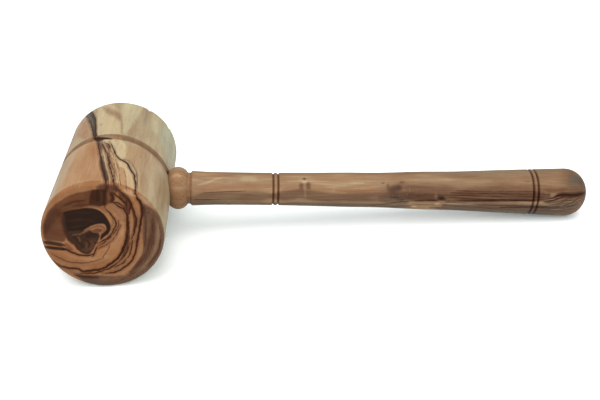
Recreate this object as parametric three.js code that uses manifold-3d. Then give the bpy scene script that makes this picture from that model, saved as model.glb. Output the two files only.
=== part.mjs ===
// A wooden meat tenderizer in two turned pieces: a mallet head with one smooth and one
// toothed face, and a handle whose round tenon is glued into a socket in the head's side.
// Millimetres, +Z up. It lies on a table, on the head's side and the handle's end, with
// the smooth face towards -Y and the handle along +X.

import * as THREE from "three";
import { mergeVertices } from "three/addons/utils/BufferGeometryUtils.js";
import Module from "manifold-3d";

const wasm = await Module();
wasm.setup();

// Head, turned about its own axis. Its lengths run from the handle's axis.
const HEAD_RADIUS = 34.3;
const SMOOTH_END = 59.2;
const TOOTHED_END = 53.9;
const SMOOTH_RIM_ROUNDING = 4;
const TOOTHED_RIM_ROUNDING = 1.6;

// Ring groove around the head, in line with the handle
const RING_GROOVE_WIDTH = 7.2;
const RING_GROOVE_DEPTH = 0.9;

// Grooves across the toothed face: a deep pair, and a shallow pair across it
const TOOTH_TURN = THREE.MathUtils.degToRad(45);
const DEEP_GROOVE_SPACING = 16.8;
const DEEP_GROOVE_WIDTH = 5.4;
const DEEP_GROOVE_DEPTH = 3.2;
const SHALLOW_GROOVE_SPACING = 16.4;
const SHALLOW_GROOVE_WIDTH = 3.6;
const SHALLOW_GROOVE_DEPTH = 1.5;

// Tenon, and the drilled socket that it is glued into
const TENON_RADIUS = 8.5;
const TENON_LENGTH = 46;
const TENON_CHAMFER = 1.2;
const GLUE_GAP = 0.3;
const DRILL_POINT_ANGLE = THREE.MathUtils.degToRad(118);

// Handle, turned about its own axis. Its lengths run from the shoulder, which sits a little
// way into the head's side, or, where the name says so, from the round end.
const SHOULDER_INSET = 1.4;
const HANDLE_LENGTH = 262.7;
const SHOULDER_RADIUS = 10;
const BEAD_RADIUS = 13.1;
const BEAD_ROUNDING = 6.8;
const NECK_RADIUS = 9.6;
const NECK_LENGTH = 1.6;
const COLLAR_RADIUS = 10.75;
const COLLAR_RISE = 1.1;
const END_ROUNDING = 14;
const END_FULLNESS = 2.1;

// The shaft's radius between the collar, at 0, and the start of the round end, at 1
const SHAFT_STATIONS = [
  [0, COLLAR_RADIUS],
  [0.03, 10.4],
  [0.1, 10.15],
  [0.2, 10.1],
  [0.3, 10.36],
  [0.4, 10.77],
  [0.5, 10.96],
  [0.6, 11.85],
  [0.7, 12.28],
  [0.8, 13.25],
  [0.9, 14.18],
  [1, 15],
];

// Pairs of cut rings on the shaft
const RING_WIDTH = 1.9;
const RING_DEPTH = 0.95;
const RING_SPACING = 3;
const FRONT_RINGS = 65.6;
const REAR_RINGS_FROM_END = 35.7;

// Fineness of the round forms
const HEAD_SIDES = 80;
const HANDLE_SIDES = 48;
const SHAFT_STEPS = 18;
const RIM_STEPS = 4;
const ARC_STEPS = 8;

const HEAD_WOOD = { color: 0xb98f63, roughness: 0.55, metalness: 0 };
const HANDLE_WOOD = { color: 0xa27a58, roughness: 0.5, metalness: 0 };

// The bead is an arc that starts at the shoulder's edge and ends on the neck
const beadCentre = BEAD_RADIUS - BEAD_ROUNDING;
const beadMiddle = Math.sqrt(BEAD_ROUNDING ** 2 - (SHOULDER_RADIUS - beadCentre) ** 2);
const beadEnd = beadMiddle + Math.sqrt(BEAD_ROUNDING ** 2 - (NECK_RADIUS - beadCentre) ** 2);
const neckEnd = beadEnd + NECK_LENGTH;

// Points on an arc about (cx, cy), from one angle to another, both included
function arc(cx, cy, radius, from, to, steps) {
  const points = [];
  for (let i = 0; i <= steps; i += 1) {
    const angle = from + ((to - from) * i) / steps;
    points.push(new THREE.Vector2(cx + radius * Math.cos(angle), cy + radius * Math.sin(angle)));
  }
  return points;
}

// Turns an outline of (radius, distance along) points about the Y axis
function turned(outline, sides) {
  return new THREE.LatheGeometry(outline, sides);
}

function solidFrom(geometry) {
  const bare = geometry.clone();
  bare.deleteAttribute("normal");
  bare.deleteAttribute("uv");
  const merged = mergeVertices(bare, 1e-4);
  const vertProperties = new Float32Array(merged.attributes.position.array);
  const triVerts = new Uint32Array(merged.index.array);
  return new wasm.Manifold(new wasm.Mesh({ numProp: 3, vertProperties, triVerts }));
}

function geometryFrom(solid) {
  const mesh = solid.getMesh();
  const geometry = new THREE.BufferGeometry();
  geometry.setAttribute("position", new THREE.BufferAttribute(mesh.vertProperties, 3));
  geometry.setIndex(new THREE.BufferAttribute(mesh.triVerts, 1));
  geometry.computeVertexNormals();
  return geometry;
}

// Head outline: smooth face, its soft rim, the side with the ring groove, the toothed rim
function headOutline() {
  const smoothRim = SMOOTH_RIM_ROUNDING;
  const toothedRim = TOOTHED_RIM_ROUNDING;
  const halfGroove = RING_GROOVE_WIDTH / 2;
  const floor = HEAD_RADIUS - RING_GROOVE_DEPTH;
  return [
    new THREE.Vector2(0, -SMOOTH_END),
    ...arc(HEAD_RADIUS - smoothRim, smoothRim - SMOOTH_END, smoothRim, -Math.PI / 2, 0, RIM_STEPS),
    new THREE.Vector2(HEAD_RADIUS, -halfGroove),
    new THREE.Vector2(floor, -halfGroove / 2),
    new THREE.Vector2(floor, halfGroove / 2),
    new THREE.Vector2(HEAD_RADIUS, halfGroove),
    ...arc(HEAD_RADIUS - toothedRim, TOOTHED_END - toothedRim, toothedRim, 0, Math.PI / 2, RIM_STEPS),
    new THREE.Vector2(0, TOOTHED_END),
  ];
}

// A V-shaped cutter that runs across the toothed face, offset from the head's axis. It rises
// as far above the face as it cuts below it, so up there it is twice the groove's width.
function toothCutter(offset, width, depth, turn) {
  const section = new THREE.Shape([
    new THREE.Vector2(offset, -depth),
    new THREE.Vector2(offset + width, depth),
    new THREE.Vector2(offset - width, depth),
  ]);
  const length = 4 * HEAD_RADIUS;
  const cutter = new THREE.ExtrudeGeometry(section, { depth: length, bevelEnabled: false });
  cutter.translate(0, 0, -length / 2);
  cutter.rotateY(turn);
  cutter.translate(0, TOOTHED_END, 0);
  return solidFrom(cutter);
}

// The drilled socket: a round hole along +X with a drill point at its bottom. Its mouth is a
// round seat that follows the bead.
function socketCutter() {
  const radius = TENON_RADIUS + GLUE_GAP;
  const mouth = HEAD_RADIUS * 1.5;
  const bottom = shoulderPlace() - TENON_LENGTH - GLUE_GAP;
  const point = radius / Math.tan(DRILL_POINT_ANGLE / 2);
  const seatRounding = BEAD_ROUNDING + GLUE_GAP;
  const seatStart = -Math.asin((beadMiddle + GLUE_GAP) / seatRounding);
  const seatMiddle = shoulderPlace() + beadMiddle;
  const outline = [
    new THREE.Vector2(0, bottom - point),
    new THREE.Vector2(radius, bottom),
    new THREE.Vector2(radius, shoulderPlace() - GLUE_GAP),
    ...arc(beadCentre, seatMiddle, seatRounding, seatStart, 0, ARC_STEPS),
    new THREE.Vector2(BEAD_RADIUS + GLUE_GAP, mouth),
    new THREE.Vector2(0, mouth),
  ];
  const hole = turned(outline, HANDLE_SIDES);
  hole.rotateZ(-Math.PI / 2);
  return solidFrom(hole);
}

// Where the handle's shoulder stands, measured along the handle from the head's axis
function shoulderPlace() {
  return HEAD_RADIUS - SHOULDER_INSET;
}

function makeHead() {
  let solid = solidFrom(turned(headOutline(), HEAD_SIDES));
  for (const side of [-0.5, 0.5]) {
    const deep = side * DEEP_GROOVE_SPACING;
    const shallow = side * SHALLOW_GROOVE_SPACING;
    solid = solid.subtract(toothCutter(deep, DEEP_GROOVE_WIDTH, DEEP_GROOVE_DEPTH, TOOTH_TURN));
    solid = solid.subtract(
      toothCutter(shallow, SHALLOW_GROOVE_WIDTH, SHALLOW_GROOVE_DEPTH, TOOTH_TURN + Math.PI / 2),
    );
  }
  solid = solid.subtract(socketCutter());
  const head = new THREE.Mesh(geometryFrom(solid), new THREE.MeshStandardMaterial(HEAD_WOOD));
  head.name = "head";
  return head;
}

// The shaft's radius at a distance from the shoulder, on a smooth curve through the stations
const shaftStart = neckEnd + COLLAR_RISE;
const shaftEnd = HANDLE_LENGTH - END_ROUNDING;
const shaftPoints = SHAFT_STATIONS.map(([share, radius]) => {
  return new THREE.Vector2(shaftStart + share * (shaftEnd - shaftStart), radius);
});
const shaftCurve = new THREE.SplineCurve(shaftPoints);

function shaftRadius(along) {
  let low = 0;
  let high = 1;
  for (let i = 0; i < 40; i += 1) {
    const middle = (low + high) / 2;
    if (shaftCurve.getPoint(middle).x < along) {
      low = middle;
    } else {
      high = middle;
    }
  }
  return shaftCurve.getPoint(low).y;
}

// Tenon, with a small chamfer that leads it into the socket
function tenonOutline() {
  return [
    new THREE.Vector2(0, -TENON_LENGTH),
    new THREE.Vector2(TENON_RADIUS - TENON_CHAMFER, -TENON_LENGTH),
    new THREE.Vector2(TENON_RADIUS, TENON_CHAMFER - TENON_LENGTH),
    new THREE.Vector2(TENON_RADIUS, 0),
  ];
}

// Half-round bead between the shoulder and the neck
function beadOutline() {
  const start = -Math.asin(beadMiddle / BEAD_ROUNDING);
  const end = Math.acos((NECK_RADIUS - beadCentre) / BEAD_ROUNDING);
  return arc(beadCentre, beadMiddle, BEAD_ROUNDING, start, end, ARC_STEPS);
}

// Neck, and the collar that the shaft starts with
function neckOutline() {
  return [new THREE.Vector2(NECK_RADIUS, neckEnd), new THREE.Vector2(COLLAR_RADIUS, shaftStart)];
}

// Shaft between the collar and the round end, with its two pairs of cut rings
function shaftOutline() {
  const front = [FRONT_RINGS - RING_SPACING / 2, FRONT_RINGS + RING_SPACING / 2];
  const rearMiddle = HANDLE_LENGTH - REAR_RINGS_FROM_END;
  const rear = [rearMiddle - RING_SPACING / 2, rearMiddle + RING_SPACING / 2];
  const rings = [...front, ...rear];
  const points = [];
  for (let i = 1; i <= SHAFT_STEPS; i += 1) {
    const along = shaftStart + ((shaftEnd - shaftStart) * i) / SHAFT_STEPS;
    if (rings.every((ring) => Math.abs(along - ring) > RING_WIDTH)) {
      points.push(new THREE.Vector2(shaftRadius(along), along));
    }
  }
  for (const ring of rings) {
    points.push(new THREE.Vector2(shaftRadius(ring - RING_WIDTH / 2), ring - RING_WIDTH / 2));
    points.push(new THREE.Vector2(shaftRadius(ring) - RING_DEPTH, ring));
    points.push(new THREE.Vector2(shaftRadius(ring + RING_WIDTH / 2), ring + RING_WIDTH / 2));
  }
  return points.sort((a, b) => a.y - b.y);
}

// Round end, a little fuller than an ellipse
function endOutline() {
  const radius = shaftRadius(shaftEnd);
  const points = [];
  for (let i = 1; i <= ARC_STEPS; i += 1) {
    const angle = (i / ARC_STEPS) * (Math.PI / 2);
    const out = Math.cos(angle) ** (2 / END_FULLNESS);
    const along = Math.sin(angle) ** (2 / END_FULLNESS);
    const across = i === ARC_STEPS ? 0 : radius * out;
    points.push(new THREE.Vector2(across, shaftEnd + END_ROUNDING * along));
  }
  return points;
}

function makeHandle() {
  const outline = [
    ...tenonOutline(),
    ...beadOutline(),
    ...neckOutline(),
    ...shaftOutline(),
    ...endOutline(),
  ];
  const geometry = turned(outline, HANDLE_SIDES);
  geometry.rotateZ(-Math.PI / 2);
  const handle = new THREE.Mesh(geometry, new THREE.MeshStandardMaterial(HANDLE_WOOD));
  handle.name = "handle";
  handle.position.x = shoulderPlace();
  return handle;
}

// The slope at which the handle's end comes down to the table that the head lies on
function restingSlope() {
  let slope = Math.PI / 2;
  for (const point of [...shaftOutline(), ...endOutline()]) {
    const along = shoulderPlace() + point.y;
    const reach = Math.hypot(along, point.x);
    const touch = Math.asin(Math.min(1, HEAD_RADIUS / reach)) - Math.atan2(point.x, along);
    slope = Math.min(slope, touch);
  }
  return slope;
}

const lying = new THREE.Group();
lying.rotation.y = restingSlope();
lying.add(makeHead(), makeHandle());

// The origin is on the table, under the middle of the whole tenderizer
const tenderizer = new THREE.Group();
tenderizer.name = "meat_tenderizer";
tenderizer.add(lying);
tenderizer.updateMatrixWorld(true);
const extent = new THREE.Box3().setFromObject(tenderizer, true);
const middle = extent.getCenter(new THREE.Vector3());
lying.position.set(-middle.x, -middle.y, -extent.min.z);

export default tenderizer;
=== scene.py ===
# %% [markdown]
# # A wooden meat tenderizer
# The real thing is two pieces of olive wood from a lathe: a fat head with a smooth and a
# grooved face, and a long handle glued into its side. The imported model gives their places
# and sizes. This script turns both again, much finer, and spends most of its effort on the
# wood: pale sapwood, honey-coloured heartwood, and the dark lines that olive is known for.

# %% Load the fixed frame
import math

import bmesh
import bpy
import numpy as np
from mathutils import Matrix, Vector
from mathutils.bvhtree import BVHTree


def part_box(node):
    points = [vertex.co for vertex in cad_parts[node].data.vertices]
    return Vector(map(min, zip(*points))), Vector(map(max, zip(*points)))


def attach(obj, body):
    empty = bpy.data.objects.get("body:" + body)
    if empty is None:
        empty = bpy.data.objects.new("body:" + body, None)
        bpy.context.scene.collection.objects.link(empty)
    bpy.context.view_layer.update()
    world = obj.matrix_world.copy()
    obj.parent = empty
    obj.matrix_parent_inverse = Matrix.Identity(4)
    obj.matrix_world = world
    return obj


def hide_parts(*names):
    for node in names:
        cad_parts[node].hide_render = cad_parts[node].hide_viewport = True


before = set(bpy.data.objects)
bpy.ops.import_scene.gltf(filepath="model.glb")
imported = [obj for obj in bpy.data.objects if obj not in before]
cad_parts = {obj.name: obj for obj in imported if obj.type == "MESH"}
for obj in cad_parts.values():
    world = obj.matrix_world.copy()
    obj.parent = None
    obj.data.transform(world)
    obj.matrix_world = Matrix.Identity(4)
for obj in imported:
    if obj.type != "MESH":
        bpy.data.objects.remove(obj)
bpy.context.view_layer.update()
print("nodes:", sorted(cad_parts))

# %% [markdown]
# ## Where the mallet lies
# A turned piece is easiest to draw along its own axis. So all shapes below are made in
# millimetres in the mallet's own space: the origin is where the axes of head and handle
# meet, X runs along the handle, and Y along the head, away from the smooth face. One matrix
# then lays them on the table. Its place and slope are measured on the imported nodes.

# %% The mallet's own space
MM = 0.001
SMOOTH_END = 59.2
TOOTHED_END = 53.9
head_low, head_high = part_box("head")
crossing = (head_low + head_high) / 2
crossing.y = head_low.y + SMOOTH_END * MM
handle_points = [vertex.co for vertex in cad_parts["handle"].data.vertices]
handle_tip = max(handle_points, key=lambda point: (point - crossing).length)
slope = math.atan2(crossing.z - handle_tip.z, handle_tip.x - crossing.x)
lay_down = (
    Matrix.Translation(crossing) @ Matrix.Rotation(slope, 4, "Y") @ Matrix.Scale(MM, 4)
)
print("slope of the handle:", round(math.degrees(slope), 3), "degrees")

# %% [markdown]
# ## Camera
# The camera stands in front of the smooth face, a little to the right, and looks down on
# the mallet. Its place, turn and lens were fitted to the outline of both turned pieces, in
# the mallet's own space. It comes first because the wood's figure is picked in the
# photograph: with the camera known, a picked pixel becomes a line of sight, and the line
# meets the wood where the mark is.

# %% A helper for new objects


def put_in_scene(name, data):
    """Makes an object from a mesh, a lamp or a camera, and links it to the scene."""
    thing = bpy.data.objects.new(name, data)
    bpy.context.scene.collection.objects.link(thing)
    return thing


# %% Camera
PHOTO_WIDTH = 600
PHOTO_HEIGHT = 400
SENSOR_WIDTH = 36
LENS = 54.03
CAMERA_PLACE = Vector((74.06, -495.18, 261.8))
CAMERA_TURN = math.radians(4.641)
CAMERA_TILT = math.radians(28.476)
CAMERA_ROLL = math.radians(2.75)
NEAREST_SEEN = 0.01
FARTHEST_SEEN = 20

camera_data = bpy.data.cameras.new("camera")
camera_data.sensor_width = SENSOR_WIDTH
camera_data.lens = LENS
camera_data.clip_start = NEAREST_SEEN
camera_data.clip_end = FARTHEST_SEEN
camera = put_in_scene("camera", camera_data)
camera_spot = lay_down @ CAMERA_PLACE
camera.matrix_world = (
    Matrix.Translation(camera_spot)
    @ Matrix.Rotation(slope, 4, "Y")
    @ Matrix.Rotation(-CAMERA_TURN, 4, "Z")
    @ Matrix.Rotation(math.pi / 2 - CAMERA_TILT, 4, "X")
    @ Matrix.Rotation(CAMERA_ROLL, 4, "Z")
)
bpy.context.scene.camera = camera
print("camera stands", round(1000 * (camera_spot - crossing).length), "mm from the crossing")

# %% From pixels to sight lines and back
PIXELS_PER_TANGENT = LENS / SENSOR_WIDTH * PHOTO_WIDTH
PHOTO_MIDDLE = ((PHOTO_WIDTH - 1) / 2, (PHOTO_HEIGHT - 1) / 2)
camera_axes = np.array(camera.matrix_world.to_3x3())


def sight_line(pixel):
    """Direction in which the camera sees a pixel of the photograph."""
    right = (pixel[0] - PHOTO_MIDDLE[0]) / PIXELS_PER_TANGENT
    up = (PHOTO_MIDDLE[1] - pixel[1]) / PIXELS_PER_TANGENT
    return Vector(camera_axes @ (right, up, -1)).normalized()


def in_photo(points):
    """Pixels at which the camera sees an array of points."""
    local = (points - np.array(camera_spot)) @ camera_axes
    x = PHOTO_MIDDLE[0] - PIXELS_PER_TANGENT * local[:, 0] / local[:, 2]
    y = PHOTO_MIDDLE[1] + PIXELS_PER_TANGENT * local[:, 1] / local[:, 2]
    return np.stack([x, y], axis=1)


print("pixels for a slope of 1:", round(PIXELS_PER_TANGENT, 1))

# %% [markdown]
# ## A lathe in Geometry Nodes
# Both pieces follow one rule: an outline turned about an axis. The Spin tool or the Screw
# modifier could do it, but a small node tree shows how it works and takes any outline. It
# makes a flat grid with a row of points for each outline point, reads the outline's radius
# for each row, and wraps every row into a ring. Merging closes the seam and the poles.

# %% Helpers for node trees


def add(tree, kind, inputs=None, **settings):
    """Adds a node, sets it up, and fills or links its inputs."""
    made = tree.nodes.new(kind)
    for name, value in settings.items():
        setattr(made, name, value)
    for name, value in (inputs or {}).items():
        if isinstance(value, bpy.types.NodeSocket):
            tree.links.new(value, made.inputs[name])
        else:
            made.inputs[name].default_value = value
    return made


def new_tree(name, kind, inputs, outputs):
    """Makes a node tree with named inputs and outputs, each given as a name and a type."""
    tree = bpy.data.node_groups.new(name, kind)
    for label, socket in inputs:
        tree.interface.new_socket(label, in_out="INPUT", socket_type="NodeSocket" + socket)
    for label, socket in outputs:
        tree.interface.new_socket(label, in_out="OUTPUT", socket_type="NodeSocket" + socket)
    return tree, tree.nodes.new("NodeGroupInput").outputs, tree.nodes.new("NodeGroupOutput").inputs


# %% The lathe tree
SEAM_GAP = 0.002


def lathe_tree():
    """Wraps rows of points, one row for each point of an outline, round the X axis."""
    tree, given, result = new_tree(
        "Lathe",
        "GeometryNodeTree",
        [("Outline", "Geometry"), ("Sides", "Int"), ("Finish", "Material")],
        [("Turned piece", "Geometry")],
    )
    count = add(tree, "GeometryNodeAttributeDomainSize", {0: given["Outline"]})
    row = add(tree, "FunctionNodeIntegerMath", {0: given["Sides"], 1: 1}, operation="ADD")
    rows = {"Vertices X": count.outputs["Point Count"], "Vertices Y": row.outputs[0]}
    grid = add(tree, "GeometryNodeMeshGrid", rows)
    index = add(tree, "GeometryNodeInputIndex").outputs[0]
    split = {0: index, 1: row.outputs[0]}
    station = add(tree, "FunctionNodeIntegerMath", split, operation="DIVIDE_FLOOR")
    side = add(tree, "FunctionNodeIntegerMath", split, operation="MODULO")
    place = add(tree, "GeometryNodeInputPosition").outputs[0]
    outline = add(
        tree,
        "GeometryNodeSampleIndex",
        {"Geometry": given["Outline"], "Value": place, "Index": station.outputs[0]},
        data_type="FLOAT_VECTOR",
    )
    drawn = add(tree, "ShaderNodeSeparateXYZ", {0: outline.outputs[0]})
    share = add(tree, "ShaderNodeMath", {0: side.outputs[0], 1: given["Sides"]}, operation="DIVIDE")
    angle = add(tree, "ShaderNodeMath", {0: share.outputs[0], 1: math.tau}, operation="MULTIPLY")
    around = [
        add(tree, "ShaderNodeMath", {0: angle.outputs[0]}, operation=operation).outputs[0]
        for operation in ("COSINE", "SINE")
    ]
    spread = [
        add(tree, "ShaderNodeMath", {0: drawn.outputs["Y"], 1: part}, operation="MULTIPLY").outputs[0]
        for part in around
    ]
    wrapped = add(tree, "ShaderNodeCombineXYZ", {0: drawn.outputs["X"], 1: spread[0], 2: spread[1]})
    rings = add(
        tree,
        "GeometryNodeSetPosition",
        {"Geometry": grid.outputs["Mesh"], "Position": wrapped.outputs[0]},
    )
    closed = add(tree, "GeometryNodeMergeByDistance", {0: rings.outputs[0], "Distance": SEAM_GAP})
    real = add(tree, "GeometryNodeRealizeInstances", {0: closed.outputs[0]})
    finished = add(
        tree,
        "GeometryNodeSetMaterial",
        {"Geometry": real.outputs[0], "Material": given["Finish"]},
    )
    tree.links.new(finished.outputs[0], result["Turned piece"])
    return tree


LATHE = lathe_tree()
print("lathe tree with", len(LATHE.nodes), "nodes")

# %% From an outline to a mesh


def outward(mesh):
    """Turns all faces of a closed mesh outwards."""
    sheet = bmesh.new()
    sheet.from_mesh(mesh)
    bmesh.ops.recalc_face_normals(sheet, faces=sheet.faces)
    sheet.to_mesh(mesh)
    sheet.free()
    return mesh


def with_modifiers(holder):
    """The plain mesh that an object's modifiers make."""
    seen = holder.evaluated_get(bpy.context.evaluated_depsgraph_get())
    return bpy.data.meshes.new_from_object(seen)


def evaluated(name, mesh, tree, **inputs):
    """Runs a mesh through a tree with the named inputs, and returns the closed result."""
    holder = put_in_scene(name, mesh)
    modifier = holder.modifiers.new(tree.name, "NODES")
    modifier.node_group = tree
    for item in tree.interface.items_tree:
        if item.name in inputs:
            modifier[item.identifier] = inputs[item.name]
    result = with_modifiers(holder)
    bpy.data.objects.remove(holder)
    return outward(result)


def turn_on_lathe(name, outline, sides, finish):
    """Turns an outline of (along, radius) points about the X axis."""
    wire = bpy.data.meshes.new(name)
    wire.from_pydata([(along, radius, 0) for along, radius in outline], [], [])
    return evaluated(name, wire, LATHE, Sides=sides, Finish=finish)


# %% [markdown]
# ## Outlines
# A turner draws an outline as corners and then eases each corner with sandpaper. The
# helper does the same: it rounds every corner by its own radius, and puts extra points on
# the straight runs, because the wood's figure will be stored on the mesh's points.

# %% Outline helper
SMOOTHEST_BEND = math.radians(20)
SMOOTHEST_CHORD = 0.55


def eased(corners):
    """Outline through corners of (along, radius, rounding, spacing of points on the next run)."""
    bends = [[Vector(corners[0][:2])]]
    for before, corner, after in zip(corners, corners[1:], corners[2:]):
        point = Vector(corner[:2])
        back = (Vector(before[:2]) - point).normalized()
        ahead = (Vector(after[:2]) - point).normalized()
        half = back.angle(ahead) / 2
        rounding = corner[2]
        if rounding == 0:
            bends.append([point])
            continue
        reach = rounding / math.tan(half)
        centre = point + (back + ahead).normalized() * rounding / math.sin(half)
        start = point + back * reach - centre
        turn = -start.angle_signed(point + ahead * reach - centre)
        chords = abs(turn) * rounding / SMOOTHEST_CHORD
        steps = math.ceil(max(abs(turn) / SMOOTHEST_BEND, chords))
        bends.append(
            [Matrix.Rotation(turn * i / steps, 2) @ start + centre for i in range(steps + 1)]
        )
    bends.append([Vector(corners[-1][:2])])
    points = bends[0]
    for corner, bend in zip(corners, bends[1:]):
        first = points[-1]
        run = bend[0] - first
        pieces = max(1, round(run.length / corner[3]))
        points = points + [first + run * i / pieces for i in range(1, pieces)] + bend
    return [tuple(point) for point in points]


def arc(along, radius, rounding, first, last, steps, spacing):
    """Corners on an arc about a centre, with angles measured from its widest point."""
    corners = []
    for i in range(steps + 1):
        angle = first + (last - first) * i / steps
        place = along + rounding * math.sin(angle)
        corners.append((place, radius + rounding * math.cos(angle), 0, spacing))
    return corners


# %% [markdown]
# ## The head
# On the real mallet the head is one turned block. The smooth end has a soft rim, the
# grooved end a crisp one, and a shallow ring groove runs round it in line with the handle.
# The grooves of the toothed face were cut after turning, two deep ones and a shallow pair
# across them, and a drilled socket takes the handle. So the head is turned first and cut
# after, as in the shop.

# %% Turn the head
HEAD_RADIUS = 34.3
SMOOTH_RIM_ROUNDING = 4
TOOTHED_RIM_ROUNDING = 1.6
RING_GROOVE_WIDTH = 7.2
RING_GROOVE_DEPTH = 0.9
GROOVE_STEPS = 12
EDGE_EASING = 0.35
HEAD_SIDES = 360
FACE_SPACING = 0.5
SIDE_SPACING = 0.9
UNBROKEN = 100

groove_half = RING_GROOVE_WIDTH / 2
cove = (groove_half**2 + RING_GROOVE_DEPTH**2) / (2 * RING_GROOVE_DEPTH)
cove_centre = HEAD_RADIUS - RING_GROOVE_DEPTH + cove
cove_turn = math.asin(groove_half / cove)
low_side, high_side = math.pi + cove_turn, math.pi - cove_turn
groove = arc(0, cove_centre, cove, low_side, high_side, GROOVE_STEPS, SIDE_SPACING)
groove[0] = (-groove_half, HEAD_RADIUS, EDGE_EASING, SIDE_SPACING)
groove[-1] = (groove_half, HEAD_RADIUS, EDGE_EASING, SIDE_SPACING)
head_outline = eased(
    [
        (-SMOOTH_END, 0, 0, FACE_SPACING),
        (-SMOOTH_END, HEAD_RADIUS, SMOOTH_RIM_ROUNDING, SIDE_SPACING),
        *groove,
        (TOOTHED_END, HEAD_RADIUS, TOOTHED_RIM_ROUNDING, UNBROKEN),
        (TOOTHED_END, 0, 0, UNBROKEN),
    ]
)
head_wood = bpy.data.materials.new("head_wood")
head_blank = turn_on_lathe("head_blank", head_outline, HEAD_SIDES, head_wood)
head_blank.transform(Matrix.Rotation(math.pi / 2, 4, "Z"))
print("head blank:", len(head_outline), "outline points,", len(head_blank.polygons), "faces")

# %% [markdown]
# ## The handle
# The handle is turned from one length of wood: the tenon that the head hides, a half-round
# bead against the head, a short neck, a collar, a shaft that swells towards the round end,
# and two pairs of cut rings. Its outline is a list of these parts in order. The shaft's
# radius is given at a few stations, and a smooth curve runs through them.

# %% Handle sizes
TENON_RADIUS = 8.5
TENON_LENGTH = 46
TENON_CHAMFER = 1.2
SHOULDER_INSET = 1.4
HANDLE_LENGTH = 262.7
SHOULDER_RADIUS = 10
BEAD_RADIUS = 13.1
BEAD_ROUNDING = 6.8
NECK_RADIUS = 9.6
NECK_LENGTH = 1.6
COLLAR_RADIUS = 10.75
COLLAR_RISE = 1.1
END_ROUNDING = 14
END_FULLNESS = 2.1
SHAFT_RADII = {
    0: COLLAR_RADIUS,
    0.03: 10.4,
    0.1: 10.15,
    0.2: 10.1,
    0.3: 10.36,
    0.4: 10.77,
    0.5: 10.96,
    0.6: 11.85,
    0.7: 12.28,
    0.8: 13.25,
    0.9: 14.18,
    1: 15,
}
RING_WIDTH = 1.9
RING_DEPTH = 0.95
RING_SPACING = 3
RING_CLEARANCE = 0.7 * RING_WIDTH
FRONT_RINGS = 65.6
REAR_RINGS_FROM_END = 35.7
HANDLE_SIDES = 200
HANDLE_SPACING = 0.8
ARC_STEPS = 24
TINY_EASING = 0.2

shoulder = HEAD_RADIUS - SHOULDER_INSET
bead_centre = BEAD_RADIUS - BEAD_ROUNDING
bead_middle = math.sqrt(BEAD_ROUNDING**2 - (SHOULDER_RADIUS - bead_centre) ** 2)
bead_end = bead_middle + math.sqrt(BEAD_ROUNDING**2 - (NECK_RADIUS - bead_centre) ** 2)
neck_end = bead_end + NECK_LENGTH
shaft_start = neck_end + COLLAR_RISE
shaft_end = HANDLE_LENGTH - END_ROUNDING
rear_rings = HANDLE_LENGTH - REAR_RINGS_FROM_END
ring_places = [
    middle + side * RING_SPACING / 2 for middle in (FRONT_RINGS, rear_rings) for side in (-1, 1)
]
print("shaft from", round(shaft_start, 1), "to", round(shaft_end, 1), "mm past the shoulder")

# %% A smooth curve for the shaft


def smooth_curve(knots, values, places):
    """Values at places on a smooth curve, whose slope at a knot comes from its neighbours."""
    knots = np.asarray(knots, float)
    values = np.asarray(values, float)
    slopes = np.gradient(values, knots, axis=0)
    index = np.clip(np.searchsorted(knots, places, side="right") - 1, 0, len(knots) - 2)
    width = knots[index + 1] - knots[index]
    t = (places - knots[index]) / width
    shape = (-1,) + (1,) * (values.ndim - 1)
    t, width = t.reshape(shape), width.reshape(shape)
    return (
        (2 * t**3 - 3 * t**2 + 1) * values[index]
        + (t**3 - 2 * t**2 + t) * width * slopes[index]
        + (3 * t**2 - 2 * t**3) * values[index + 1]
        + (t**3 - t**2) * width * slopes[index + 1]
    )


def shaft_radius(along):
    """Radius of the shaft at a distance from the shoulder."""
    share = np.array([(along - shaft_start) / (shaft_end - shaft_start)])
    return float(smooth_curve(list(SHAFT_RADII), list(SHAFT_RADII.values()), share)[0])


# %% Turn the handle


def handle_corners():
    """Corners from the tenon's end to the round end, with lengths from the shoulder."""
    corners = [
        (-TENON_LENGTH, 0, 0, UNBROKEN),
        (-TENON_LENGTH, TENON_RADIUS - TENON_CHAMFER, 0, UNBROKEN),
        (TENON_CHAMFER - TENON_LENGTH, TENON_RADIUS, 0, UNBROKEN),
        (0, TENON_RADIUS, 0, UNBROKEN),
    ]
    first = -math.asin(bead_middle / BEAD_ROUNDING)
    last = math.acos((NECK_RADIUS - bead_centre) / BEAD_ROUNDING)
    corners += arc(bead_middle, bead_centre, BEAD_ROUNDING, first, last, ARC_STEPS, HANDLE_SPACING)
    corners.append((neck_end, NECK_RADIUS, TINY_EASING, HANDLE_SPACING))
    corners.append((shaft_start, COLLAR_RADIUS, TINY_EASING, HANDLE_SPACING))
    shaft = []
    steps = round((shaft_end - shaft_start) / HANDLE_SPACING)
    for i in range(1, steps + 1):
        along = shaft_start + (shaft_end - shaft_start) * i / steps
        if min(abs(along - ring) for ring in ring_places) > RING_CLEARANCE:
            shaft.append((along, shaft_radius(along), 0, HANDLE_SPACING))
    for ring in ring_places:
        for side in (-1, 0, 1):
            along = ring + side * RING_WIDTH / 2
            radius = shaft_radius(along) - (RING_DEPTH if side == 0 else 0)
            shaft.append((along, radius, TINY_EASING, HANDLE_SPACING))
    corners += sorted(shaft)
    for i in range(1, ARC_STEPS + 1):
        angle = i / ARC_STEPS * math.pi / 2
        out = max(0, math.cos(angle)) ** (2 / END_FULLNESS)
        along = math.sin(angle) ** (2 / END_FULLNESS)
        place = shaft_end + END_ROUNDING * along
        corners.append((place, SHAFT_RADII[1] * out, 0, HANDLE_SPACING))
    corners[-1] = (HANDLE_LENGTH, 0, 0, HANDLE_SPACING)
    return corners


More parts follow.
